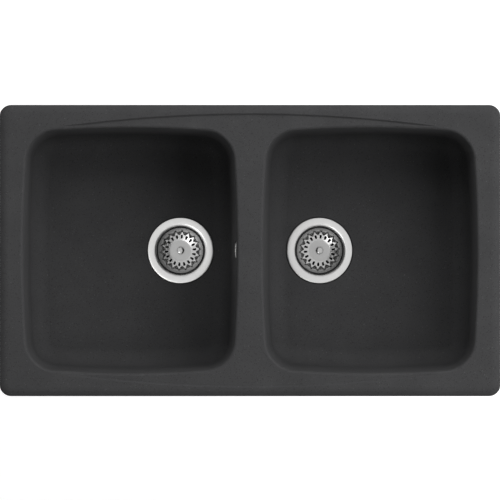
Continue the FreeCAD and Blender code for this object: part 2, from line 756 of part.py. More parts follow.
def clip_screws():
    head_top = -WORKTOP_THICKNESS - SLIDE_FIT - CLAW_DROP - CLAW_THICKNESS - FIT
    tip = -CLIP_BOSS_HEIGHT + CLIP_SCREW_BITE
    head_end = head_top - CLIP_HEAD_HEIGHT
    head = [
        (0, head_top), (CLIP_HEAD_RADIUS, head_top),
        (CLIP_HEAD_RADIUS - 0.6, head_end + 1, CLIP_HEAD_RADIUS - 2, head_end), (0, head_end),
    ]
    long = CLIP_HEAD_RADIUS - 1
    short = CLIP_CROSS_WIDTH / 2
    cross = [
        block((-long, -short, head_end - 1), (long, short, head_end + CLIP_CROSS_DEPTH)),
        block((-short, -long, head_end - 1), (short, long, head_end + CLIP_CROSS_DEPTH)),
    ]
    shank = rod(CLIP_SCREW_RADIUS, AXIS_Z * (head_top - 1), AXIS_Z, tip - head_top + 1)
    screw = turned(head).cut(cross).fuse(shank)
    screws = []
    for place, _ in clip_places():
        copy = screw.copy()
        copy.translate(place)
        screws.append(copy)
    return Part.makeCompound(screws)


# ---- the basket waste, once in each bowl ----

def cup_line():
    """The strainer cup's upper surface, from the flange's edge in to the ledge round its grid."""
    return [
        (FLANGE_RADIUS, FLOOR_Z - 0.5),
        (FLANGE_RADIUS - FLANGE_EDGE, FLOOR_Z, 0.5),
        (FLANGE_INNER_RADIUS, FLOOR_Z, CUP_LIP_BEND),
        (CUP_RADIUS, FLOOR_Z - CUP_LIP_DROP, 2.0),
        (CUP_RADIUS - CUP_TAPER, CUP_FLOOR, CUP_CORNER),
        (CUP_GRID_RADIUS, CUP_FLOOR),
    ]


def cup(x):
    return turned(strip(list(reversed(cup_line())), CUP_SHEET), x)


def cup_grid(x):
    """The cup's floor: a flat ring that the plug closes on, with a hub for the clamping screw."""
    base = AXIS_Z * (CUP_FLOOR - CUP_SHEET)
    seat = ring(CUP_GRID_RADIUS, CUP_OPENING_RADIUS, base, AXIS_Z, CUP_SHEET)
    hub = rod(CUP_HUB_RADIUS, base, AXIS_Z, CUP_SHEET)
    low = (CUP_HUB_RADIUS - 2, -CUP_SPOKE_WIDTH / 2, CUP_FLOOR - CUP_SHEET)
    high = (CUP_OPENING_RADIUS + 1, CUP_SPOKE_WIDTH / 2, CUP_FLOOR)
    spokes = turned_copies(block(low, high), CUP_SPOKES)
    whole = fused([seat, hub] + spokes)
    whole = whole.cut(rod(CLAMP_SCREW_RADIUS + SLIDE_FIT, AXIS_Z * (CUP_FLOOR - 5), AXIS_Z, 10))
    whole.translate(Vector(x, 0, 0))
    return whole


def flange_gasket(x):
    outer = FLANGE_RADIUS - FLANGE_GASKET_INSET
    inner = FLANGE_INNER_RADIUS + CUP_LIP_BEND + CUP_SHEET
    return ring(outer, inner, Vector(x, 0, SEAT_Z), AXIS_Z, SEAT_DEPTH - CUP_SHEET)


def basket(x):
    line = [
        (STEM_RADIUS + SLIDE_FIT, BASKET_FLOOR),
        (BASKET_FLOOR_RADIUS, BASKET_FLOOR, 2.0),
        (BASKET_SHOULDER_RADIUS, FLOOR_Z - BASKET_SHOULDER_DROP, 4.0),
        (BASKET_RIM_RADIUS - 1.0, FLOOR_Z - BASKET_RIM_DROP, 1.0),
        (BASKET_RIM_RADIUS, FLOOR_Z - BASKET_RIM_DROP - BASKET_LIP),
    ]
    shell = turned(strip(line, BASKET_SHEET))
    rise = FLOOR_Z - BASKET_SHOULDER_DROP - BASKET_FLOOR
    slope = rise / (BASKET_SHOULDER_RADIUS - BASKET_FLOOR_RADIUS)

    def wall_point(radius):
        return Vector(radius, 0, BASKET_FLOOR + slope * (radius - BASKET_FLOOR_RADIUS))

    root = wall_point(SLOT_OUTER_RADIUS - 1.5)
    tip = wall_point(FLUTE_TIP_RADIUS)
    flute = Part.makeCone(FLUTE_ROOT_RADIUS, FLUTE_TIP_SIZE, (tip - root).Length, root, tip - root)
    inner = SLOT_INNER_RADIUS + SLOT_WIDTH / 2
    outer = SLOT_OUTER_RADIUS - SLOT_WIDTH / 2
    slot = block((inner, -SLOT_WIDTH / 2, BASKET_FLOOR - 9), (outer, SLOT_WIDTH / 2, FLOOR_Z))
    slot = slot.fuse(rod(SLOT_WIDTH / 2, Vector(inner, 0, BASKET_FLOOR - 9), AXIS_Z, 30))
    slot = slot.fuse(rod(SLOT_WIDTH / 2, Vector(outer, 0, BASKET_FLOOR - 9), AXIS_Z, 30))
    whole = fused([shell] + turned_copies(flute, SLOT_COUNT))
    whole = whole.cut(turned_copies(slot, SLOT_COUNT))
    whole.rotate(Vector(0, 0, 0), AXIS_Z, SLOT_START_ANGLE)
    whole.translate(Vector(x, 0, 0))
    return whole


def basket_ring(x):
    centre = CUP_RADIUS - RING_GAP - BASKET_RING_SECTION
    height = FLOOR_Z - BASKET_RIM_DROP - BASKET_LIP
    return Part.makeTorus(centre, BASKET_RING_SECTION, Vector(x, 0, height), AXIS_Z)


def knob(x):
    base = BASKET_FLOOR + SLIDE_FIT
    neck_top = base + KNOB_HEIGHT * 0.4
    edge = base + KNOB_HEIGHT * 0.6
    top = base + KNOB_HEIGHT
    bend = KNOB_EDGE * (1 - math.cos(math.radians(45)))
    head = PLUG_TOP - PLUG_TOP_THICKNESS
    items = [
        (0, head - STEM_HEAD_HEIGHT), (STEM_HEAD_RADIUS, head - STEM_HEAD_HEIGHT), (STEM_HEAD_RADIUS, head),
        (STEM_RADIUS, head), (STEM_RADIUS, base), (KNOB_NECK_RADIUS, base), (KNOB_NECK_RADIUS, neck_top),
        (KNOB_RADIUS, edge - 0.6), (KNOB_RADIUS, top - KNOB_EDGE),
        (KNOB_RADIUS - bend, top - bend, KNOB_RADIUS - KNOB_EDGE, top), (0, top),
    ]
    return turned(items, x)


def plug(x):
    under = PLUG_TOP - PLUG_TOP_THICKNESS
    items = [
        (STEM_RADIUS + FIT, PLUG_TOP), (PLUG_LAND_RADIUS, PLUG_TOP),
        (PLUG_RADIUS - PLUG_SKIRT, PLUG_TOP - PLUG_CHAMFER), (PLUG_RADIUS, PLUG_BOTTOM + PLUG_CHAMFER),
        (PLUG_RADIUS, PLUG_BOTTOM), (PLUG_HOLLOW_RADIUS, PLUG_BOTTOM),
        (PLUG_HOLLOW_RADIUS, under), (STEM_RADIUS + FIT, under),
    ]
    return turned(items, x)


def body_gasket(x):
    return ring(BODY_FLANGE_RADIUS - 1, DRAIN_HOLE_RADIUS + 1, Vector(x, 0, BODY_TOP), AXIS_Z, GASKET_THICKNESS)


def body_shell():
    inner = BODY_RADIUS - BODY_WALL
    flange_low = BODY_TOP - BODY_FLANGE_THICKNESS
    items = [
        (inner, BODY_TOP), (BODY_FLANGE_RADIUS, BODY_TOP), (BODY_FLANGE_RADIUS, flange_low),
        (BODY_RADIUS, flange_low), (BODY_RADIUS, BODY_FLOOR + 4),
        (THREAD_RADIUS + 3, THREAD_TOP + 3), (THREAD_RADIUS + 3, THREAD_TOP), (THREAD_RADIUS, THREAD_TOP),
        (THREAD_RADIUS, THREAD_END), (SOCKET_RADIUS, THREAD_END), (SOCKET_RADIUS, THREAD_TOP + 3),
        (inner, BODY_FLOOR + 7),
    ]
    return turned(items)


def waste_body(side):
    """The moulded body under a bowl, with its overflow inlet pointing at the divider."""
    towards = Vector(-side, 0, 0)
    inlet_base = towards * (BODY_RADIUS - BODY_WALL / 2) + AXIS_Z * INLET_Z
    inlet = rod(SPIGOT_RADIUS, inlet_base, towards, INLET_LENGTH)
    collar = rod(SPIGOT_RADIUS + 2.5, inlet_base, towards, BODY_WALL / 2 + 2)
    whole = fused([body_shell(), inlet, collar])
    bore_base = towards * (BODY_RADIUS - BODY_WALL - 3) + AXIS_Z * INLET_Z
    whole = whole.cut(rod(SPIGOT_BORE, bore_base, towards, INLET_LENGTH + 10))
    whole.translate(Vector(side * DRAIN_X, 0, 0))
    return whole


def body_cross(x):
    """The hub and three ribs in the body's throat, with a pocket for the clamping screw's nut."""
    hub_low = THREAD_TOP + 2
    hub = rod(BODY_HUB_RADIUS, AXIS_Z * hub_low, AXIS_Z, CUP_FLOOR - CUP_SHEET - FIT - hub_low)
    low = (BODY_HUB_RADIUS - 2, -BODY_RIB / 2, hub_low)
    high = (SOCKET_RADIUS + 2, BODY_RIB / 2, BODY_FLOOR + 4)
    whole = fused([hub] + turned_copies(block(low, high), 3))
    throat = SOCKET_RADIUS - FIT
    inner = BODY_RADIUS - BODY_WALL - FIT
    room = [
        (0, THREAD_END), (throat, THREAD_END), (throat, THREAD_TOP + 3), (inner, BODY_FLOOR + 7),
        (inner, BODY_TOP), (0, BODY_TOP),
    ]
    whole = whole.common(turned(room))
    whole = whole.cut(rod(CLAMP_SCREW_RADIUS + THREAD_FIT, AXIS_Z * (hub_low - 1), AXIS_Z, 40))
    pocket = hexagon(NUT_HALF_FLATS + FIT, NUT_HEIGHT + FIT)
    pocket.translate(AXIS_Z * hub_low)
    whole = whole.cut(pocket)
    whole.translate(Vector(x, 0, 0))
    return whole


def hexagon(half_flats, height):
    corner = half_flats / math.cos(math.radians(30))
    points = [Vector(corner * math.cos(math.radians(60 * i)), corner * math.sin(math.radians(60 * i)), 0)
              for i in range(7)]
    return Part.Face(Part.makePolygon(points)).extrude(AXIS_Z * height)


def clamp_nut(x):
    nut = hexagon(NUT_HALF_FLATS, NUT_HEIGHT).cut(rod(CLAMP_SCREW_RADIUS + FIT, Vector(0, 0, -1), AXIS_Z, 20))
    nut.translate(Vector(x, 0, THREAD_TOP + 2))
    return nut


def clamp_screw(x):
    tip = THREAD_TOP + 2 - SCREW_PAST_NUT
    top = CUP_FLOOR + CLAMP_HEAD_HEIGHT
    items = [
        (0, tip), (CLAMP_SCREW_RADIUS - 0.6, tip), (CLAMP_SCREW_RADIUS, tip + 0.6),
        (CLAMP_SCREW_RADIUS, CUP_FLOOR), (CLAMP_HEAD_RADIUS, CUP_FLOOR),
        (CLAMP_HEAD_RADIUS - 0.4, top - 0.6, CLAMP_HEAD_RADIUS - 1.6, top), (0, top),
    ]
    slot = block((-CLAMP_HEAD_RADIUS, -0.7, top - 1.2), (CLAMP_HEAD_RADIUS, 0.7, top + 1))
    screw = turned(items).cut(slot)
    screw.translate(Vector(x, 0, 0))
    return screw


# ---- union joints, bends, tee and trap ----

def union_nut(base, direction):
    """A ribbed union nut over a threaded end whose face is at base, with the pipe leaving along direction."""
    bore = THREAD_RADIUS + THREAD_FIT
    neck = PIPE_RADIUS + SLIDE_FIT
    items = [
        (bore, -UNION_BACK), (UNION_RADIUS - 1, -UNION_BACK), (UNION_RADIUS, 1 - UNION_BACK),
        (UNION_RADIUS, UNION_FRONT - 3), (UNION_RADIUS - 3, UNION_FRONT), (neck, UNION_FRONT),
        (neck, UNION_FRONT - UNION_LIP), (bore, UNION_FRONT - UNION_LIP),
    ]
    low = (UNION_RADIUS - 1, -UNION_RIB_WIDTH / 2, 1 - UNION_BACK)
    high = (UNION_RADIUS + UNION_RIB_HEIGHT, UNION_RIB_WIDTH / 2, UNION_FRONT - 4)
    rib = block(low, high)
    rib = rib.makeChamfer(0.7, [e for e in rib.Edges if e.BoundBox.XMin > UNION_RADIUS])
    return stood(fused([turned(items)] + turned_copies(rib, UNION_RIBS)), base, direction)


def union_washer(base, direction):
    """The soft cone washer that the nut presses between the socket's end and the pipe."""
    outer = THREAD_RADIUS - SLIDE_FIT
    inner = PIPE_RADIUS + FIT
    items = [
        (inner, FIT), (outer - 1.0, FIT), (outer, 1 + FIT), (outer, WASHER_LENGTH - WASHER_CHAMFER),
        (inner + 0.8, WASHER_LENGTH), (inner, WASHER_LENGTH),
    ]
    return stood(turned(items), base, direction)


def unions():
    """Name, base and direction of every union joint."""
    joints = []
    for name, side in SIDES.items():
        joints.append((f"outlet_{name}", Vector(side * DRAIN_X, 0, THREAD_END), Vector(0, 0, -1)))
        joints.append((f"tee_{name}", Vector(side * TEE_HALF_LENGTH, 0, RUN_Z), Vector(side, 0, 0)))
    joints.append(("trap_inlet", Vector(0, 0, TRAP_TOP), AXIS_Z))
    joints.append(("trap_outlet", Vector(0, TRAP_OUTLET_REACH, TRAP_OUTLET_Z), AXIS_Y))
    return joints


def pipe_along(wire, radius):
    start = wire.Edges[0].valueAt(wire.Edges[0].FirstParameter)
    along = wire.Edges[0].tangentAt(wire.Edges[0].FirstParameter)
    circle = Part.Wire(Part.Circle(start, along, radius).toShape())
    return wire.makePipeShell([circle], True, False)


def bend_pipe(side):
    """The bent pipe from under a bowl to the tee."""
    x = side * DRAIN_X
    top = THREAD_END + PIPE_IN_SOCKET
    end = side * (TEE_HALF_LENGTH - PIPE_IN_SOCKET)
    points = [(x, top), (x, RUN_Z, BEND_RADIUS), (end, RUN_Z)]
    wire = wire_of(rounded(points), flat, closed=False)
    return pipe_along(wire, PIPE_RADIUS).cut(pipe_along(wire, PIPE_RADIUS - PIPE_WALL))


def tee():
    along = rod(THREAD_RADIUS, Vector(-TEE_HALF_LENGTH, 0, RUN_Z), AXIS_X, 2 * TEE_HALF_LENGTH)
    middle = TEE_HALF_LENGTH - UNION_BACK - 3
    belly = rod(THREAD_RADIUS + TEE_BELLY, Vector(-middle, 0, RUN_Z), AXIS_X, 2 * middle)
    belly = belly.makeChamfer(1.0, [e for e in belly.Edges if len(e.Vertexes) == 1])
    branch = rod(PIPE_RADIUS, Vector(0, 0, RUN_Z - TEE_BRANCH_DROP), AXIS_Z, TEE_BRANCH_DROP)
    whole = fused([along, belly, branch])
    bore = PIPE_RADIUS - PIPE_WALL
    whole = whole.cut(rod(bore, Vector(-TEE_HALF_LENGTH, 0, RUN_Z), AXIS_X, 2 * TEE_HALF_LENGTH))
    whole = whole.cut(rod(bore, Vector(0, 0, RUN_Z - TEE_BRANCH_DROP - 1), AXIS_Z, TEE_BRANCH_DROP))
    for side in SIDES.values():
        base = Vector(side * (TEE_HALF_LENGTH - PIPE_IN_SOCKET - 1), 0, RUN_Z)
        whole = whole.cut(rod(SOCKET_RADIUS, base, Vector(side, 0, 0), PIPE_IN_SOCKET + 2))
    return whole


def trap_bottle():
    inner = TRAP_RADIUS - TRAP_WALL
    thread_inner = TRAP_THREAD_RADIUS - TRAP_WALL
    thread_top = TRAP_BOTTOM + TRAP_THREAD_LENGTH
    collar_bore = DIP_TUBE_RADIUS + SLIDE_FIT
    inside = [
        (thread_inner, thread_top + 2), (inner, thread_top + 5), (inner, TRAP_SHOULDER_Z - TRAP_SHOULDER),
        (SOCKET_RADIUS, LEDGE_Z - TRAP_LEDGE),
    ]
    items = [
        (SOCKET_RADIUS, TRAP_TOP), (THREAD_RADIUS, TRAP_TOP), (THREAD_RADIUS, TRAP_SHOULDER_Z),
        (TRAP_RADIUS - 3, TRAP_SHOULDER_Z - 3), (TRAP_RADIUS, TRAP_SHOULDER_Z - TRAP_SHOULDER),
        (TRAP_RADIUS, thread_top), (TRAP_THREAD_RADIUS, thread_top), (TRAP_THREAD_RADIUS, TRAP_BOTTOM),
        (thread_inner, TRAP_BOTTOM),
    ]
    items += inside + [(collar_bore, LEDGE_Z - TRAP_LEDGE), (collar_bore, LEDGE_Z), (SOCKET_RADIUS, LEDGE_Z)]
    neck = rod(THREAD_RADIUS, Vector(0, 0, TRAP_OUTLET_Z), AXIS_Y, TRAP_OUTLET_REACH)
    neck = neck.cut(turned([(0, thread_top + 2)] + inside + [(0, LEDGE_Z - TRAP_LEDGE)]))
    whole = turned(items).fuse(neck)
    whole = whole.cut(rod(SOCKET_RADIUS, Vector(0, inner - 4, TRAP_OUTLET_Z), AXIS_Y, TRAP_OUTLET_REACH))
    return whole.removeSplitter()


def dip_tube():
    """The inner tube that carries the water down into the trap's seal."""
    low = DIP_TUBE_TOP - DIP_TUBE_LENGTH
    collar = SOCKET_RADIUS - SLIDE_FIT
    items = [
        (DIP_TUBE_RADIUS, low), (DIP_TUBE_RADIUS, DIP_TUBE_TOP - DIP_TUBE_COLLAR),
        (collar, DIP_TUBE_TOP - DIP_TUBE_COLLAR), (collar, DIP_TUBE_TOP),
        (DIP_TUBE_RADIUS - DIP_TUBE_WALL, DIP_TUBE_TOP), (DIP_TUBE_RADIUS - DIP_TUBE_WALL, low),
    ]
    return turned(items)


def trap_cup():
    inner = TRAP_THREAD_RADIUS + THREAD_FIT
    outer = inner + TRAP_CUP_WALL
    top = TRAP_BOTTOM + TRAP_THREAD_LENGTH - GASKET_THICKNESS - FIT
    low = top - TRAP_CUP_HEIGHT
    items = [
        (inner, top), (outer, top), (outer, low + 14), (outer - 10, low + 2), (outer - 14, low), (0, low),
        (0, low + TRAP_CUP_WALL), (outer - 15, low + TRAP_CUP_WALL), (outer - 12, low + 5),
        (inner - 3, TRAP_BOTTOM - 6), (inner - 3, TRAP_BOTTOM - FIT), (inner, TRAP_BOTTOM - FIT),
    ]
    grip = rod(TRAP_CUP_GRIP, Vector(outer - 0.4, 0, low + 16), AXIS_Z, top - low - 18)
    return fused([turned(items)] + turned_copies(grip, TRAP_CUP_GRIPS))


def trap_cup_seal():
    top = TRAP_BOTTOM + TRAP_THREAD_LENGTH
    base = Vector(0, 0, top - GASKET_THICKNESS)
    return ring(TRAP_RADIUS, TRAP_THREAD_RADIUS + FIT, base, AXIS_Z, GASKET_THICKNESS)


def outlet_pipe():
    """The pipe that runs to the wall, with a bead that stops it against the nut."""
    start = TRAP_OUTLET_REACH - PIPE_IN_SOCKET
    bead = TRAP_OUTLET_REACH + UNION_FRONT + SLIDE_FIT
    pipe = rod(PIPE_RADIUS, Vector(0, start, TRAP_OUTLET_Z), AXIS_Y, OUTLET_END - start)
    pipe = pipe.fuse(rod(PIPE_RADIUS + OUTLET_BEAD, Vector(0, bead, TRAP_OUTLET_Z), AXIS_Y, OUTLET_BEAD_WIDTH))
    return pipe.cut(rod(PIPE_RADIUS - PIPE_WALL, Vector(0, start, TRAP_OUTLET_Z), AXIS_Y, OUTLET_END - start))


# ---- overflow ----

def overflow_rosette():
    """The domed round cover, made about +Z and then turned to face into the left bowl."""
    top = ROSETTE_EDGE + ROSETTE_DOME
    bore = OVERFLOW_SCREW_RADIUS + SLIDE_FIT
    middle = (ROSETTE_RADIUS * 0.55, ROSETTE_EDGE + ROSETTE_DOME * 0.72)
    cover = turned([(bore, 0), (ROSETTE_RADIUS, 0), (ROSETTE_RADIUS, ROSETTE_EDGE * 0.6), (*middle, bore, top)])
    mouth = turned([
        (0, top - OVERFLOW_HEAD_SINK), (bore, top - OVERFLOW_HEAD_SINK), (OVERFLOW_HEAD_RADIUS + 0.4, top + 1),
        (0, top + 1),
    ])
    cover = cover.cut(mouth)
    hole = rod(ROSETTE_HOLE_RADIUS, Vector(ROSETTE_HOLE_CIRCLE, 0, -1), AXIS_Z, 12)
    cover = cover.cut(turned_copies(hole, ROSETTE_HOLES))
    return stood(cover, Vector(rosette_seat_x() - FIT, 0, overflow_z()), Vector(-1, 0, 0))


def overflow_screw():
    top = ROSETTE_EDGE + ROSETTE_DOME + 0.2
    under = top - OVERFLOW_HEAD_SINK
    items = [
        (0, top - OVERFLOW_SCREW_LENGTH), (OVERFLOW_SCREW_RADIUS, top - OVERFLOW_SCREW_LENGTH),
        (OVERFLOW_SCREW_RADIUS, under), (OVERFLOW_HEAD_RADIUS - 0.7, top), (0, top),
    ]
    slot = block((-OVERFLOW_HEAD_RADIUS, -0.5, top - 0.8), (OVERFLOW_HEAD_RADIUS, 0.5, top + 1))
    screw = turned(items).cut(slot)
    return stood(screw, Vector(rosette_seat_x() - FIT, 0, overflow_z()), Vector(-1, 0, 0))


def overflow_gasket():
    base = Vector(pad_x(), 0, overflow_z())
    return ring(ELBOW_FLANGE_RADIUS, OVERFLOW_HOLE_RADIUS, base, AXIS_X, GASKET_THICKNESS)


def spigot_x():
    return pad_x() + GASKET_THICKNESS + ELBOW_LENGTH / 2


def overflow_elbow():
    z = overflow_z()
    start = pad_x() + GASKET_THICKNESS
    face = Vector(start, 0, z)
    flange = rod(ELBOW_FLANGE_RADIUS, face, AXIS_X, ELBOW_FLANGE)
    drum = rod(ELBOW_RADIUS, face, AXIS_X, ELBOW_LENGTH)
    far_edges = [e for e in drum.Edges if e.BoundBox.XMin > start + 1 and len(e.Vertexes) == 1]
    drum = drum.makeChamfer(1.5, far_edges)
    low = z - ELBOW_RADIUS - SPIGOT_LENGTH
    spigot = rod(SPIGOT_RADIUS, Vector(spigot_x(), 0, low), AXIS_Z, SPIGOT_LENGTH + 6)
    collar = rod(SPIGOT_RADIUS + 2, Vector(spigot_x(), 0, z - ELBOW_RADIUS - 6), AXIS_Z, 9)
    collar = collar.common(block((start + ELBOW_FLANGE, -20, z - 60), (start + ELBOW_LENGTH, 20, z)))
    whole = fused([flange, drum, spigot, collar])
    inner = ELBOW_RADIUS - ELBOW_WALL
    hub = rod(ELBOW_HUB_RADIUS, face, AXIS_X, ELBOW_FLANGE + 6)
    bar = block((start, -2, z - inner - 1), (start + ELBOW_FLANGE + 2, 2, z + inner + 1))
    hollow = rod(inner, face, AXIS_X, ELBOW_LENGTH - ELBOW_WALL).cut([hub, bar])
    whole = whole.cut(hollow)
    whole = whole.cut(rod(SPIGOT_BORE, Vector(spigot_x(), 0, low - 1), AXIS_Z, SPIGOT_LENGTH + 10))
    return whole.cut(rod(OVERFLOW_SCREW_RADIUS + FIT, face - AXIS_X, AXIS_X, ELBOW_FLANGE + 8))


def hose_points():
    """The hose's route from over the elbow's spigot, down the divider, to over the left body's inlet."""
    x = spigot_x()
    top = overflow_z() - ELBOW_RADIUS - SPIGOT_LENGTH + HOSE_OVERLAP
    end = -DRAIN_X + BODY_RADIUS - BODY_WALL / 2 + INLET_LENGTH - HOSE_OVERLAP
    return [(x, top), (x, INLET_Z, HOSE_BEND_RADIUS), (end, INLET_Z)]


def hose_wire():
    return wire_of(rounded(hose_points()), flat, closed=False)


def overflow_hose():
    """Ribbed hose: rings of four circles each along the route, between plain cuffs."""
    wire = hose_wire()
    edges = wire.OrderedEdges
    length = sum(e.Length for e in edges)
    ribs = round((length - 2 * HOSE_CUFF) / HOSE_RIB_PITCH)
    pitch = (length - 2 * HOSE_CUFF) / ribs
    steps = [(0, HOSE_ROOT_RADIUS), (HOSE_CUFF, HOSE_ROOT_RADIUS)]
    for i in range(ribs):
        base = HOSE_CUFF + i * pitch
        steps.append((base + 0.2 * pitch, HOSE_ROOT_RADIUS))
        steps.append((base + 0.4 * pitch, HOSE_RADIUS))
        steps.append((base + 0.7 * pitch, HOSE_RADIUS))
        steps.append((base + 0.9 * pitch, HOSE_ROOT_RADIUS))
    steps.append((length, HOSE_ROOT_RADIUS))

    def spot(reach):
        for edge in edges:
            if reach <= edge.Length or edge is edges[-1]:
                at = edge.getParameterByLength(min(reach, edge.Length))
                return edge.valueAt(at), edge.tangentAt(at)
            reach -= edge.Length

    circles = []
    for reach, radius in steps:
        centre, along = spot(reach)
        side = along.cross(AXIS_Y)
        turn = FreeCAD.Rotation(AXIS_Y, side, along, "ZXY")
        circle = Part.Circle(Vector(0, 0, 0), AXIS_Z, radius).toShape()
        circle.Placement = FreeCAD.Placement(centre, turn)
        circles.append(Part.Wire(circle))
    hose = Part.makeLoft(circles, True, True)
    return hose.cut(pipe_along(wire, HOSE_BORE))


def band_clip(centre, direction, ear):
    """A band clip round a hose end, with two ears and the bolt through them."""
    inner = HOSE_ROOT_RADIUS + FIT
    band = ring(inner + CLIP_BAND, inner, Vector(0, 0, -CLIP_BAND_WIDTH / 2), AXIS_Z, CLIP_BAND_WIDTH)
    half = CLIP_BAND_WIDTH / 2
    band = band.cut(block((inner - 3, -CLIP_GAP, -half - 1), (inner + CLIP_BAND + 1, CLIP_GAP, half + 1)))
    ear_low = inner + 0.2
    ear_top = inner + CLIP_EAR
    ears = [
        block((ear_low, CLIP_GAP, -half), (ear_top, CLIP_GAP + CLIP_BAND, half)),
        block((ear_low, -CLIP_GAP - CLIP_BAND, -half), (ear_top, -CLIP_GAP, half)),
    ]
    bolt = rod(CLIP_BOLT_RADIUS, Vector(ear_top - 3, -5, 0), AXIS_Y, 10)
    head = rod(CLIP_BOLT_RADIUS + 1.2, Vector(ear_top - 3, -6.4, 0), AXIS_Y, 2.0)
    clip = fused([band, bolt, head] + ears)
    turn = FreeCAD.Rotation(ear, direction.cross(ear), direction, "ZXY")
    clip.Placement = FreeCAD.Placement(centre, turn)
    return clip


def hose_clip_upper():
    x, top = hose_points()[0]
    centre = Vector(x, 0, top - HOSE_OVERLAP / 2)
    return band_clip(centre, AXIS_Z, AXIS_Y)


def hose_clip_lower():
    end, z = hose_points()[-1]
    centre = Vector(end + HOSE_OVERLAP / 2, 0, z)
    return band_clip(centre, AXIS_X, Vector(0, -1, 0))


def blank_cap():
    """The cap that closes the right body's unused inlet."""
    end = DRAIN_X - BODY_RADIUS + BODY_WALL / 2 - INLET_LENGTH
    inner = SPIGOT_RADIUS + THREAD_FIT
    outer = SPIGOT_RADIUS + BLANK_CAP_WALL
    floor = BLANK_CAP_LENGTH - BLANK_CAP_WALL
    items = [
        (inner, 0), (outer, 0), (outer, BLANK_CAP_LENGTH - 1), (outer - 1, BLANK_CAP_LENGTH),
        (0, BLANK_CAP_LENGTH), (0, floor), (inner, floor),
    ]
    grip = rod(BLANK_CAP_GRIP, Vector(outer, 0, 1), AXIS_Z, BLANK_CAP_LENGTH - 3)
    cap = fused([turned(items)] + turned_copies(grip, BLANK_CAP_GRIPS))
    base = Vector(end + floor - FIT, 0, INLET_Z)
    return stood(cap, base, Vector(-1, 0, 0))


def nodes():
    """Every node's name and the function that makes it."""
    made = {
        "sink_body": sink_body,
        "rim_seal": rim_seal,
        "clip_claws": clip_claws,
        "clip_screws": clip_screws,
        "overflow_rosette": overflow_rosette,
        "overflow_screw": overflow_screw,
        "overflow_gasket": overflow_gasket,
        "overflow_elbow": overflow_elbow,
        "overflow_hose": overflow_hose,
        "hose_clip_upper": hose_clip_upper,
        "hose_clip_lower": hose_clip_lower,
        "inlet_blank_cap": blank_cap,
        "tee": tee,
        "trap_bottle": trap_bottle,
        "trap_dip_tube": dip_tube,
        "trap_cup": trap_cup,
        "trap_cup_seal": trap_cup_seal,
        "outlet_pipe": outlet_pipe,
    }
    centred = {
        "strainer_cup": cup,
        "cup_grid": cup_grid,
        "flange_gasket": flange_gasket,
        "basket": basket,
        "basket_ring": basket_ring,
        "plug_knob": knob,
        "plug": plug,
        "body_gasket": body_gasket,
        "body_cross": body_cross,
        "clamp_screw": clamp_screw,
        "clamp_nut": clamp_nut,
    }
    for name, side in SIDES.items():
        for piece, make in centred.items():
            made[f"{piece}_{name}"] = lambda make=make, side=side: make(side * DRAIN_X)
        made[f"waste_body_{name}"] = lambda side=side: waste_body(side)
        made[f"bend_pipe_{name}"] = lambda side=side: bend_pipe(side)
    for name, base, direction in unions():
        made[f"union_nut_{name}"] = lambda base=base, direction=direction: union_nut(base, direction)
        made[f"union_washer_{name}"] = lambda base=base, direction=direction: union_washer(base, direction)
    return made


def main():
    os.makedirs(OUT, exist_ok=True)
    for name, make in nodes().items():
        shape = make()
        if not shape.isValid() or shape.Volume <= 0:
            print("not a good solid:", name, shape.isValid(), shape.Volume)
        shape.exportStep(f"{OUT}/{name}.step")
        box = shape.BoundBox
        print(f"{name}: {len(shape.Solids)} solid(s), {shape.Volume / 1000:.1f} cm3, "
              f"z {box.ZMin:.1f} to {box.ZMax:.1f}")


main()
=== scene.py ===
import math

import bmesh
import bpy
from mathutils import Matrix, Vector


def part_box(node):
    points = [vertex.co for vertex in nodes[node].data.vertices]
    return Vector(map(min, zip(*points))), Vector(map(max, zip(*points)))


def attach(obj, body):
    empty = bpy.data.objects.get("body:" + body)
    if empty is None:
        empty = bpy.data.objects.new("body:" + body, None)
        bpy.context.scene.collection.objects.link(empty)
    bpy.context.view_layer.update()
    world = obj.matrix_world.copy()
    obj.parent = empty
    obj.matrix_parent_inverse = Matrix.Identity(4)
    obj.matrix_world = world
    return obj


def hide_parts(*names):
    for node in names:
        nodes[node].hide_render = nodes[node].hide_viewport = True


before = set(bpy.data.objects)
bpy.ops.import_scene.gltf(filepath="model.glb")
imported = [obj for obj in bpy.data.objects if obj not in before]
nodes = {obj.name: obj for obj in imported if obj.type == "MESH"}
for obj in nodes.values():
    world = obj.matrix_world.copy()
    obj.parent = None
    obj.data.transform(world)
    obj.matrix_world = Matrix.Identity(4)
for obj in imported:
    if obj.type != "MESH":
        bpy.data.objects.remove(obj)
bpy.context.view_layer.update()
print("frame loaded:", len(nodes), "nodes")


def pair(name):
    return [name + "_left", name + "_right"]


# small helpers for the materials; every size in them is in metres

def startMaterial(name):
    material = bpy.data.materials.new(name)
    material.use_nodes = True
    tree = material.node_tree
    return material, tree, tree.nodes["Principled BSDF"]


def addNode(tree, kind, sockets=None, **settings):
    made = tree.nodes.new(kind)
    for key, value in settings.items():
        setattr(made, key, value)
    for key, value in (sockets or {}).items():
        made.inputs[key].default_value = value
    return made


def objectPlace(tree, turn=(0, 0, 0), stretch=(1, 1, 1)):
    # Object coordinates, stretched and turned
    coordinates = addNode(tree, "ShaderNodeTexCoord")
    mapping = addNode(tree, "ShaderNodeMapping", {"Rotation": turn, "Scale": stretch})
    tree.links.new(coordinates.outputs["Object"], mapping.inputs["Vector"])
    return mapping.outputs["Vector"]


def noise(tree, place, size, detail=2.0, roughness=0.5):
    made = addNode(tree, "ShaderNodeTexNoise", {"Scale": 1 / size, "Detail": detail, "Roughness": roughness})
    tree.links.new(place, made.inputs["Vector"])
    return made.outputs["Fac"]


def cells(tree, place, size):
    made = addNode(tree, "ShaderNodeTexVoronoi", {"Scale": 1 / size})
    tree.links.new(place, made.inputs["Vector"])
    return made


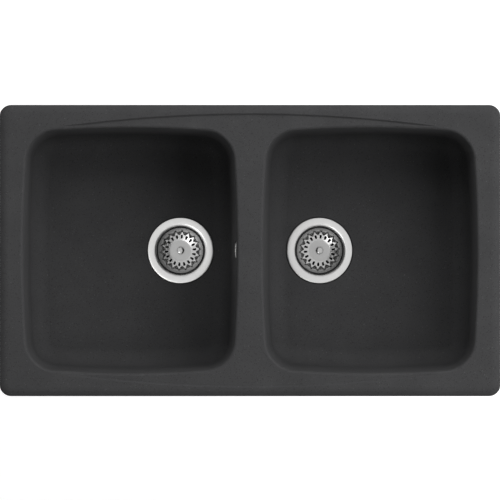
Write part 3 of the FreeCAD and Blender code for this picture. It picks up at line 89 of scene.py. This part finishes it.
def ramp(tree, source, stops, smooth=False):
    made = addNode(tree, "ShaderNodeValToRGB")
    made.color_ramp.interpolation = "EASE" if smooth else "LINEAR"
    elements = made.color_ramp.elements
    while len(elements) < len(stops):
        elements.new(0.5)
    for element, (position, colour) in zip(elements, stops):
        element.position = position
        element.color = (colour, colour, colour, 1) if isinstance(colour, float) else (*colour, 1)
    tree.links.new(source, made.inputs["Fac"])
    return made.outputs["Color"]


def spread(tree, source, low, high):
    # a 0 to 1 texture value, moved to between low and high
    made = addNode(tree, "ShaderNodeMapRange", {"To Min": low, "To Max": high})
    tree.links.new(source, made.inputs["Value"])
    return made.outputs["Result"]


def blendColours(tree, factor, first, second, mode="MIX"):
    made = addNode(tree, "ShaderNodeMix", data_type="RGBA", blend_type=mode)
    for socket, value in ((made.inputs[0], factor), (made.inputs[6], first), (made.inputs[7], second)):
        if isinstance(value, bpy.types.NodeSocket):
            tree.links.new(value, socket)
        else:
            socket.default_value = value if isinstance(value, float) else (*value, 1)
    return made.outputs[2]


def combine(tree, operation, *values):
    made = addNode(tree, "ShaderNodeMath", operation=operation)
    for socket, value in zip(made.inputs, values):
        if isinstance(value, bpy.types.NodeSocket):
            tree.links.new(value, socket)
        else:
            socket.default_value = value
    return made.outputs[0]


def bump(tree, shader, height, depth, strength=1.0, under=None):
    made = addNode(tree, "ShaderNodeBump", {"Strength": strength, "Distance": depth})
    tree.links.new(height, made.inputs["Height"])
    if under:
        tree.links.new(under, made.inputs["Normal"])
    tree.links.new(made.outputs["Normal"], shader.inputs["Normal"])


def paint(names, material):
    for name in names:
        slots = nodes[name].data.materials
        slots.clear()
        slots.append(material)


# the moulded stone composite

composite = {
    "body": (0.0500, 0.0500, 0.0515),
    "cloud": (0.0590, 0.0590, 0.0605),
    "lightGrain": (0.1050, 0.1050, 0.1070),
    "darkGrain": (0.0290, 0.0290, 0.0297),
    "grainSize": 0.0011,
    "fineShare": 0.6,
    "flakeSize": 0.0017,
    "cloudSize": 0.060,
    "cloudRange": (-0.6, 1.6),
    "lightStops": [(0.90, 0.0), (0.97, 1.0)],
    "darkStops": [(0.10, 1.0), (0.22, 0.0)],
    "flakeStops": [(0.955, 0.0), (0.985, 0.8)],
    "roughnessLow": 0.66,
    "roughnessHigh": 0.82,
    "grainDepth": 0.00005,
    "gloss": 0.16,
}


def compositeFinish():
    s = composite
    material, tree, shader = startMaterial("quartz_composite")
    place = objectPlace(tree)
    cloud = noise(tree, place, s["cloudSize"], 4.0)
    base = blendColours(tree, spread(tree, cloud, *s["cloudRange"]), s["body"], s["cloud"])
    grain = cells(tree, place, s["grainSize"])
    lightMask = ramp(tree, grain.outputs["Color"], s["lightStops"])
    darkMask = ramp(tree, grain.outputs["Color"], s["darkStops"])
    base = blendColours(tree, lightMask, base, s["lightGrain"])
    base = blendColours(tree, darkMask, base, s["darkGrain"])
    flake = cells(tree, place, s["flakeSize"])
    flakeMask = ramp(tree, flake.outputs["Color"], s["flakeStops"])
    base = blendColours(tree, flakeMask, base, s["lightGrain"])
    tree.links.new(base, shader.inputs["Base Color"])
    fine = noise(tree, place, s["grainSize"] * s["fineShare"], 3.0, 0.6)
    tree.links.new(spread(tree, fine, s["roughnessLow"], s["roughnessHigh"]), shader.inputs["Roughness"])
    shader.inputs["Specular IOR Level"].default_value = s["gloss"]
    bump(tree, shader, fine, s["grainDepth"], 0.6)
    return material


paint(["sink_body"], compositeFinish())
print("sink body finished")


# steels

steels = {
    "flange": {"colour": (0.70, 0.698, 0.692), "dark": (0.58, 0.578, 0.572), "low": 0.24, "high": 0.40,
               "stretch": (0.02, 1, 1), "turn": 0.62, "line": 0.00035, "depth": 0.000010},
    "basket": {"colour": (0.74, 0.738, 0.732), "dark": (0.60, 0.60, 0.595), "low": 0.20, "high": 0.34,
               "stretch": (0.25, 1, 1), "turn": 0.30, "line": 0.0005, "depth": 0.000008},
    "knob": {"colour": (0.48, 0.479, 0.475), "dark": (0.42, 0.42, 0.416), "low": 0.16, "high": 0.26,
             "stretch": (1, 1, 1), "turn": 0.0, "line": 0.004, "depth": 0.000004},
    "polished": {"colour": (0.60, 0.60, 0.595), "dark": (0.52, 0.52, 0.515), "low": 0.10, "high": 0.20,
                 "stretch": (1, 1, 1), "turn": 0.0, "line": 0.004, "depth": 0.000004},
    "band": {"colour": (0.60, 0.60, 0.59), "dark": (0.48, 0.48, 0.47), "low": 0.26, "high": 0.42,
             "stretch": (1, 1, 0.03), "turn": 0.0, "line": 0.0003, "depth": 0.000010},
    "screw": {"colour": (0.62, 0.62, 0.61), "dark": (0.46, 0.46, 0.45), "low": 0.24, "high": 0.42,
              "stretch": (1, 1, 1), "turn": 0.0, "line": 0.0010, "depth": 0.000015},
}

steelWear = {
    "size": 0.012,
    "lineShare": 0.55,
    "wearShare": 0.45,
}


def steelFinish(name, key):
    # fine lines along one direction, with broader cloudy wear over them
    s = steels[key]
    material, tree, shader = startMaterial(name)
    lines = noise(tree, objectPlace(tree, turn=(0, 0, s["turn"]), stretch=s["stretch"]), s["line"], 2.0, 0.6)
    wear = noise(tree, objectPlace(tree), steelWear["size"], 3.0, 0.55)
    worn = combine(tree, "MULTIPLY", wear, steelWear["wearShare"])
    tone = combine(tree, "MULTIPLY_ADD", lines, steelWear["lineShare"], worn)
    tree.links.new(blendColours(tree, tone, s["dark"], s["colour"]), shader.inputs["Base Color"])
    tree.links.new(spread(tree, tone, s["low"], s["high"]), shader.inputs["Roughness"])
    shader.inputs["Metallic"].default_value = 1.0
    bump(tree, shader, lines, s["depth"], 0.5)
    return material


pressingAndPaintedReflection = {
    "offset": 0.120,
    "reach": 0.040,
    # painted reflection and shade: colour factors by distance from the strainer axis, lighter on the star, darker on
    # the middle plate and rim
    "paintedReflectionTones": [(0.435, 0.60), (0.500, 0.74), (0.800, 0.74), (0.860, 0.58)],
    "roughness": [(0.440, 0.06), (0.500, 0.0), (0.800, 0.02), (0.840, 0.24)],
    "dentSize": 0.0032,
    "dentDepth": 0.00022,
    "dents": [(0.500, 0.0), (0.580, 1.0)],
}


def fromAxis(tree, offset, reach):
    # 0 on the axis of the nearer strainer, 1 at the reach from it
    parts = addNode(tree, "ShaderNodeSeparateXYZ")
    tree.links.new(objectPlace(tree), parts.inputs[0])
    across = combine(tree, "SUBTRACT", combine(tree, "ABSOLUTE", parts.outputs["X"]), offset)
    flat = addNode(tree, "ShaderNodeCombineXYZ")
    tree.links.new(across, flat.inputs["X"])
    tree.links.new(parts.outputs["Y"], flat.inputs["Y"])
    length = addNode(tree, "ShaderNodeVectorMath", operation="LENGTH")
    tree.links.new(flat.outputs[0], length.inputs[0])
    return combine(tree, "DIVIDE", length.outputs["Value"], reach)


def basketSteelWithPaintedReflection():
    # painted reflection and shade: the colour is multiplied lighter on the pressed star, darker on the middle plate
    # and on the rim; the middle plate is a little rougher and the rim much rougher
    s = pressingAndPaintedReflection
    material = steelFinish("pressed_basket_steel_painted_reflection", "basket")
    tree = material.node_tree
    shader = tree.nodes["Principled BSDF"]
    place = fromAxis(tree, s["offset"], s["reach"])
    colour, roughness = (shader.inputs[name].links[0].from_socket for name in ("Base Color", "Roughness"))
    # painted reflection and shade laid over the basket's steel colour
    paintedReflectionTones = ramp(tree, place, s["paintedReflectionTones"])
    tree.links.new(blendColours(tree, 1.0, colour, paintedReflectionTones, "MULTIPLY"), shader.inputs["Base Color"])
    rougher = ramp(tree, place, s["roughness"])
    tree.links.new(combine(tree, "ADD", roughness, rougher), shader.inputs["Roughness"])
    dents = combine(tree, "MULTIPLY", noise(tree, objectPlace(tree), s["dentSize"]), ramp(tree, place, s["dents"]))
    bump(tree, shader, dents, s["dentDepth"], 1.0, shader.inputs["Normal"].links[0].from_socket)
    return material


zinc = {
    "colour": (0.60, 0.60, 0.575),
    "cool": (0.50, 0.52, 0.54),
    "spangle": 0.0035,
    "hazeSize": 0.006,
    "low": 0.32,
    "high": 0.50,
    "depth": 0.00003,
}


def zincFinish():
    s = zinc
    material, tree, shader = startMaterial("zinc_plated_steel")
    place = objectPlace(tree)
    spangles = cells(tree, place, s["spangle"])
    haze = noise(tree, place, s["hazeSize"], 3.0)
    tree.links.new(blendColours(tree, spangles.outputs["Color"], s["colour"], s["cool"]), shader.inputs["Base Color"])
    tree.links.new(spread(tree, haze, s["low"], s["high"]), shader.inputs["Roughness"])
    shader.inputs["Metallic"].default_value = 1.0
    bump(tree, shader, haze, s["depth"], 0.4)
    return material


brass = {
    "bright": (0.73, 0.53, 0.24),
    "tarnish": (0.42, 0.30, 0.15),
    "cloudSize": 0.0025,
    "patchStops": [(0.35, 0.0), (0.75, 1.0)],
    "low": 0.22,
    "high": 0.45,
    "depth": 0.00003,
}


def brassFinish():
    s = brass
    material, tree, shader = startMaterial("turned_brass")
    cloud = noise(tree, objectPlace(tree), s["cloudSize"], 4.0, 0.6)
    patch = ramp(tree, cloud, s["patchStops"])
    tree.links.new(blendColours(tree, patch, s["bright"], s["tarnish"]), shader.inputs["Base Color"])
    tree.links.new(spread(tree, cloud, s["low"], s["high"]), shader.inputs["Roughness"])
    shader.inputs["Metallic"].default_value = 1.0
    bump(tree, shader, cloud, s["depth"], 0.4)
    return material


flangeSteel = steelFinish("brushed_flange_steel", "flange")
basketSteel = basketSteelWithPaintedReflection()
paint(pair("strainer_cup") + pair("cup_grid"), flangeSteel)
paint(pair("basket"), basketSteel)
knobSteel = steelFinish("polished_knob_steel", "knob")
paint(pair("plug_knob"), knobSteel)
paint(["overflow_rosette"], steelFinish("polished_cover_steel", "polished"))
paint(["hose_clip_upper", "hose_clip_lower"], steelFinish("band_clip_steel", "band"))
paint(["overflow_screw"] + pair("clamp_screw"), steelFinish("turned_screw_steel", "screw"))
paint(["clip_claws", "clip_screws"], zincFinish())
paint(pair("clamp_nut"), brassFinish())
print("metals finished")


# strainer cups and baskets, with the pressed shapes that show from above

cup = {
    "sheet": 0.0010,
    "wallTop": -0.0030,
    "steps": 160,
    "line": [
        (0.0568, -0.0006), (0.0565, -0.0002), (0.0559, 0.0000), (0.0540, 0.0002), (0.0505, 0.0003),
        (0.0470, 0.0002), (0.0452, 0.0000), (0.0446, -0.0003), (0.0436, -0.0007), (0.0428, -0.0011),
        (0.0421, -0.0016), (0.0417, -0.0024), (0.0415, -0.0050), (0.0413, -0.0200), (0.0411, -0.0320),
        (0.0404, -0.0350), (0.0388, -0.0371), (0.0360, -0.0380), (0.0330, -0.0380),
    ],
}


def addPiece(name, mesh, body, slotName, material, *replaced):
    piece = bpy.data.objects.new(name, mesh)
    bpy.context.scene.collection.objects.link(piece)
    mesh.materials.append(material)
    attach(piece, body)
    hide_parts(*replaced)


def finishMesh(name, shape):
    bmesh.ops.recalc_face_normals(shape, faces=shape.faces)
    for face in shape.faces:
        face.smooth = True
    mesh = bpy.data.meshes.new(name)
    shape.to_mesh(mesh)
    shape.free()
    return mesh


def centreOf(name):
    low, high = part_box(name)
    return Vector(((low[0] + high[0]) / 2, (low[1] + high[1]) / 2, high[2]))


def makeCup(side):
    top = centreOf("strainer_cup_" + side)
    sheet = cup["sheet"]
    line = cup["line"]
    # the back of the sheet: outside the wall, and below the flange
    under = [(radius + sheet, height) if height < cup["wallTop"] else (radius, height - sheet)
             for radius, height in reversed(line)]
    shape = bmesh.new()
    corners = [shape.verts.new((top.x + radius, top.y, top.z + height)) for radius, height in line + under]
    edges = [shape.edges.new((first, second)) for first, second in zip(corners, corners[1:] + corners[:1])]
    bmesh.ops.spin(shape, geom=corners + edges, cent=top, axis=(0, 0, 1), dvec=(0, 0, 0), angle=2 * math.pi,
                   steps=cup["steps"], use_merge=True)
    mesh = finishMesh("strainer_cup_" + side, shape)
    addPiece("strainer_cup_look_" + side, mesh, "sink", "brushed_steel", flangeSteel, "strainer_cup_" + side)


basket = {
    "slots": 18,
    "parts": 16,
    "start": math.radians(5.0),
    "sheet": 0.0008,
    "slotHalf": 3,
    "slotEnd": 0.0009,
    "slotStart": 0.0207,
    "slotStop": 0.0271,
    "wallFoot": 0.0272,
    "pointWidth": 0.0041,
    "pointTip": 0.0350,
    "edgeLead": 0.0004,
    "edgeWidth": 0.0009,
    "radii": [
        0.0027, 0.0035, 0.0060, 0.0100, 0.0140, 0.0168, 0.0177, 0.0185, 0.0194, 0.0202, "start", 0.0230,
        0.0240, 0.0250, "stop", 0.0272, 0.0276, 0.0280, 0.0285, 0.0290, 0.0295, 0.0300, 0.0305, 0.0310,
        0.0315, 0.0320, 0.0325, 0.0330, 0.0335, 0.0342, 0.0350, 0.0357, 0.0364, 0.0370, 0.0375, 0.0380,
        0.0384, 0.0386, 0.0388, 0.0389,
    ],
    "profile": [
        (0.0027, -0.0144), (0.0168, -0.0144), (0.0185, -0.0142), (0.0202, -0.0137), (0.0222, -0.0132),
        (0.0272, -0.0117), (0.0335, -0.0098),
    ],
    "wall": [
        (0.0272, -0.0117), (0.0285, -0.0090), (0.0300, -0.0059), (0.0315, -0.0038), (0.0330, -0.0027),
        (0.0345, -0.0021), (0.0360, -0.0014), (0.0374, -0.0007), (0.0384, -0.0001), (0.0386, 0.0),
        (0.0388, -0.0002), (0.0389, -0.0012),
    ],
}


def along(points, radius):
    # the height of a line of points at a radius
    for (first, low), (second, high) in zip(points, points[1:]):
        if radius <= second:
            share = max(0.0, (radius - first) / (second - first))
            return low + (high - low) * share
    return points[-1][1]


def basketHeight(radius, offset):
    # the shallow star below, the steep wall between its points
    s = basket
    if radius <= s["wallFoot"]:
        return along(s["profile"], radius)
    if radius >= s["pointTip"]:
        return along(s["wall"], radius)
    share = (radius - s["wallFoot"]) / (s["pointTip"] - s["wallFoot"])
    edge = s["pointWidth"] * (1 - share)
    across = abs(offset) * radius
    blend = min(1.0, max(0.0, (across - edge + s["edgeLead"]) / s["edgeWidth"]))
    blend = blend * blend * (3 - 2 * blend)
    low = along(s["profile"], radius)
    return low + (along(s["wall"], radius) - low) * blend


def makeBasket(side):
    s = basket
    top = centreOf("basket_" + side)
    count = s["slots"] * s["parts"]
    radii = s["radii"]
    shape = bmesh.new()
    rings = []
    for radius in radii:
        ring = []
        for i in range(count):
            step = (i + s["parts"] // 2) % s["parts"] - s["parts"] // 2
            offset = step * 2 * math.pi / count
            share = min(1.0, abs(step) / s["slotHalf"]) ** 2 * s["slotEnd"]
            reach = radius
            if radius == "start":
                reach = s["slotStart"] + share
            if radius == "stop":
                reach = s["slotStop"] - share
            angle = s["start"] + i * 2 * math.pi / count
            height = basketHeight(reach, offset)
            ring.append(shape.verts.new((
                top.x + reach * math.cos(angle), top.y + reach * math.sin(angle), top.z + height
            )))
        rings.append(ring)
    first, last = radii.index("start"), radii.index("stop")
    for row in range(len(radii) - 1):
        for i in range(count):
            step = (i + s["parts"] // 2) % s["parts"] - s["parts"] // 2
            if first <= row < last and -s["slotHalf"] <= step < s["slotHalf"]:
                continue
            nextOne = (i + 1) % count
            shape.faces.new((rings[row][i], rings[row][nextOne], rings[row + 1][nextOne], rings[row + 1][i]))
    loose = [vert for vert in shape.verts if not vert.link_faces]
    bmesh.ops.delete(shape, geom=loose, context="VERTS")
    bmesh.ops.recalc_face_normals(shape, faces=shape.faces)
    bmesh.ops.solidify(shape, geom=shape.faces[:], thickness=-s["sheet"])
    mesh = finishMesh("basket_" + side, shape)
    addPiece("basket_look_" + side, mesh, "basket_unit_" + side, "brushed_steel", basketSteel, "basket_" + side)


knob = {
    "steps": 64,
    "stem": [(0, 0), (0.0050, 0), (0.0050, 0.0009), (0.0024, 0.0009)],
    "head": [
        (0.0024, -0.0065), (0.0036, -0.0065), (0.0036, -0.0040), (0.0044, -0.0034), (0.0060, -0.0030),
        (0.0062, -0.0026), (0.0062, -0.0015), (0.0061, -0.0012), (0.0058, -0.00094), (0.0054, -0.00078),
        (0.0038, -0.00024), (0.0033, -0.00006), (0.0029, 0), (0.0027, 0), (0, 0),
    ],
}


def makeKnob(side):
    low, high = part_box("plug_knob_" + side)
    top = centreOf("plug_knob_" + side)
    places = [(radius, low[2] + height) for radius, height in knob["stem"]]
    places += [(radius, high[2] + height) for radius, height in knob["head"]]
    shape = bmesh.new()
    corners = [shape.verts.new((top.x + radius, top.y, height)) for radius, height in places]
    edges = [shape.edges.new((first, second)) for first, second in zip(corners, corners[1:])]
    bmesh.ops.spin(shape, geom=corners + edges, cent=top, axis=(0, 0, 1), dvec=(0, 0, 0), angle=2 * math.pi,
                   steps=knob["steps"], use_merge=True)
    bmesh.ops.remove_doubles(shape, verts=shape.verts, dist=0.000001)
    mesh = finishMesh("plug_knob_" + side, shape)
    addPiece("plug_knob_look_" + side, mesh, "plug_unit_" + side, "knob_steel", knobSteel, "plug_knob_" + side)


for side in ("left", "right"):
    makeCup(side)
    makeBasket(side)
    makeKnob(side)
print("strainers finished")


# rubbers and plastics

plastics = {
    "blackRubber": {"colour": (0.016, 0.016, 0.017), "worn": (0.040, 0.040, 0.041), "size": 0.006,
                    "low": 0.58, "high": 0.80, "grain": 0.0004, "depth": 0.00003, "gloss": 0.35},
    "whiteRubber": {"colour": (0.62, 0.62, 0.59), "worn": (0.52, 0.52, 0.49), "size": 0.006,
                    "low": 0.50, "high": 0.70, "grain": 0.0005, "depth": 0.00003, "gloss": 0.40},
    "blackPlastic": {"colour": (0.022, 0.022, 0.023), "worn": (0.036, 0.036, 0.037), "size": 0.015,
                     "low": 0.36, "high": 0.50, "grain": 0.0007, "depth": 0.00004, "gloss": 0.50},
    "whitePlastic": {"colour": (0.80, 0.80, 0.775), "worn": (0.72, 0.715, 0.68), "size": 0.030,
                     "low": 0.30, "high": 0.42, "grain": 0.0012, "depth": 0.00002, "gloss": 0.50},
    "nutPlastic": {"colour": (0.76, 0.76, 0.74), "worn": (0.66, 0.655, 0.63), "size": 0.010,
                   "low": 0.40, "high": 0.56, "grain": 0.0006, "depth": 0.00005, "gloss": 0.45},
}

wornStops = [(0.38, 0.0), (0.78, 1.0)]


def mouldedFinish(name, key):
    s = plastics[key]
    material, tree, shader = startMaterial(name)
    place = objectPlace(tree)
    cloud = noise(tree, place, s["size"], 4.0, 0.55)
    grain = noise(tree, place, s["grain"], 2.0, 0.5)
    patch = ramp(tree, cloud, wornStops, smooth=True)
    tree.links.new(blendColours(tree, patch, s["colour"], s["worn"]), shader.inputs["Base Color"])
    tone = combine(tree, "ADD", combine(tree, "MULTIPLY", cloud, 0.5), combine(tree, "MULTIPLY", grain, 0.5))
    tree.links.new(spread(tree, tone, s["low"], s["high"]), shader.inputs["Roughness"])
    shader.inputs["Specular IOR Level"].default_value = s["gloss"]
    bump(tree, shader, grain, s["depth"], 0.5)
    return material


foam = {
    "colour": (0.030, 0.030, 0.031),
    "paintedPoreShade": (0.010, 0.010, 0.010),
    "poreSize": 0.0008,
    "poreStops": [(0.15, 1.0), (0.55, 0.0)],
    "poreDepth": 0.0002,
    "roughness": 0.92,
    "gloss": 0.2,
}


def foamFinish():
    s = foam
    material, tree, shader = startMaterial("closed_cell_foam")
    pores = cells(tree, objectPlace(tree), s["poreSize"])
    # painted shade: the pore cells take a darker colour than the foam round them
    edge = ramp(tree, pores.outputs["Distance"], s["poreStops"])
    tree.links.new(blendColours(tree, edge, s["colour"], s["paintedPoreShade"]), shader.inputs["Base Color"])
    shader.inputs["Roughness"].default_value = s["roughness"]
    shader.inputs["Specular IOR Level"].default_value = s["gloss"]
    bump(tree, shader, pores.outputs["Distance"], s["poreDepth"], 0.6)
    return material


blackRubber = mouldedFinish("black_rubber", "blackRubber")
whiteRubber = mouldedFinish("white_rubber", "whiteRubber")
blackPlastic = mouldedFinish("black_moulding", "blackPlastic")
whitePlastic = mouldedFinish("white_pipe", "whitePlastic")
nutPlastic = mouldedFinish("white_nut_moulding", "nutPlastic")
paint(["rim_seal"], foamFinish())
paint(["overflow_gasket", "trap_cup_seal"], blackRubber)
paint(pair("flange_gasket") + pair("body_gasket") + pair("basket_ring") + pair("plug"), blackRubber)
paint([name for name in nodes if name.startswith("union_washer")], whiteRubber)
paint(["overflow_elbow", "overflow_hose", "inlet_blank_cap"], blackPlastic)
paint(pair("waste_body") + pair("body_cross"), blackPlastic)
paint(["tee", "trap_bottle", "trap_dip_tube", "outlet_pipe"] + pair("bend_pipe"), whitePlastic)
paint(["trap_cup"] + [name for name in nodes if name.startswith("union_nut")], nutPlastic)
print("rubbers and plastics finished")


# studio: floor, light and camera

studio = {
    "floorZ": -0.90,
    "floorSize": 14.0,
    "floorColour": (0.80, 0.80, 0.80),
    "floorRoughness": 0.8,
    "floorLift": 0.62,
    "ambient": 0.10,
    "lampDistance": 3.4,
    "rightLamp": {"way": (4.0, 42.0), "power": 98.0, "size": 3.2, "glossy": False, "diffuse": True},
    "backLamp": {"way": (88.0, 42.0), "power": 72.0, "size": 3.2, "glossy": False, "diffuse": True},
    "shine": {"way": (228.0, 57.0), "power": 17.0, "size": 1.1, "glossy": True, "diffuse": False},
}


def showsBackdrop(tree):
    # 1 for camera, glossy and transmission rays, 0 for the rest
    path = addNode(tree, "ShaderNodeLightPath")
    seen = combine(tree, "MAXIMUM", path.outputs["Is Camera Ray"], path.outputs["Is Glossy Ray"])
    return combine(tree, "MAXIMUM", seen, path.outputs["Is Transmission Ray"])


def makeWorld():
    world = bpy.data.worlds.new("studio")
    bpy.context.scene.world = world
    world.use_nodes = True
    tree = world.node_tree
    background = tree.nodes["Background"]
    background.inputs["Color"].default_value = (1, 1, 1, 1)
    tree.links.new(spread(tree, showsBackdrop(tree), studio["ambient"], 1.0), background.inputs["Strength"])


def makeFloor():
    mesh = bpy.data.meshes.new("floor")
    shape = bmesh.new()
    bmesh.ops.create_grid(shape, x_segments=1, y_segments=1, size=studio["floorSize"] / 2)
    bmesh.ops.translate(shape, verts=shape.verts, vec=(0, 0, studio["floorZ"]))
    shape.to_mesh(mesh)
    shape.free()
    floor = bpy.data.objects.new("floor", mesh)
    bpy.context.scene.collection.objects.link(floor)
    material, tree, shader = startMaterial("floor_paper")
    shader.inputs["Base Color"].default_value = (*studio["floorColour"], 1)
    shader.inputs["Roughness"].default_value = studio["floorRoughness"]
    shader.inputs["Emission Color"].default_value = (1, 1, 1, 1)
    lift = combine(tree, "MULTIPLY", showsBackdrop(tree), studio["floorLift"])
    tree.links.new(lift, shader.inputs["Emission Strength"])
    mesh.materials.append(material)


def softLight(name):
    s = studio[name]
    azimuth, elevation = (math.radians(angle) for angle in s["way"])
    towards = Vector((
        math.cos(azimuth) * math.cos(elevation), math.sin(azimuth) * math.cos(elevation), math.sin(elevation)
    ))
    lamp = bpy.data.lights.new(name, "AREA")
    lamp.shape = "SQUARE"
    lamp.size = s["size"]
    lamp.energy = s["power"]
    light = bpy.data.objects.new(name, lamp)
    light.location = towards * studio["lampDistance"]
    light.rotation_euler = towards.to_track_quat("Z", "Y").to_euler()
    light.visible_glossy = s["glossy"]
    light.visible_diffuse = s["diffuse"]
    bpy.context.scene.collection.objects.link(light)


view = {
    "width": 0.8582,
    "lens": 1200.0,
    "sensor": 36.0,
    "clipEnd": 80.0,
    "lookAt": (0.0, 0.0009, 0.006),
}


def makeCamera():
    settings = bpy.data.cameras.new("camera")
    settings.lens = view["lens"]
    settings.sensor_width = view["sensor"]
    settings.clip_end = view["clipEnd"]
    camera = bpy.data.objects.new("camera", settings)
    distance = view["width"] * view["lens"] / view["sensor"]
    camera.location = Vector(view["lookAt"]) + Vector((0, 0, distance))
    bpy.context.scene.collection.objects.link(camera)
    bpy.context.scene.camera = camera


makeWorld()
makeFloor()
for name in ("rightLamp", "backLamp", "shine"):
    softLight(name)
makeCamera()
bpy.context.scene.view_settings.view_transform = "Standard"
print("studio ready")
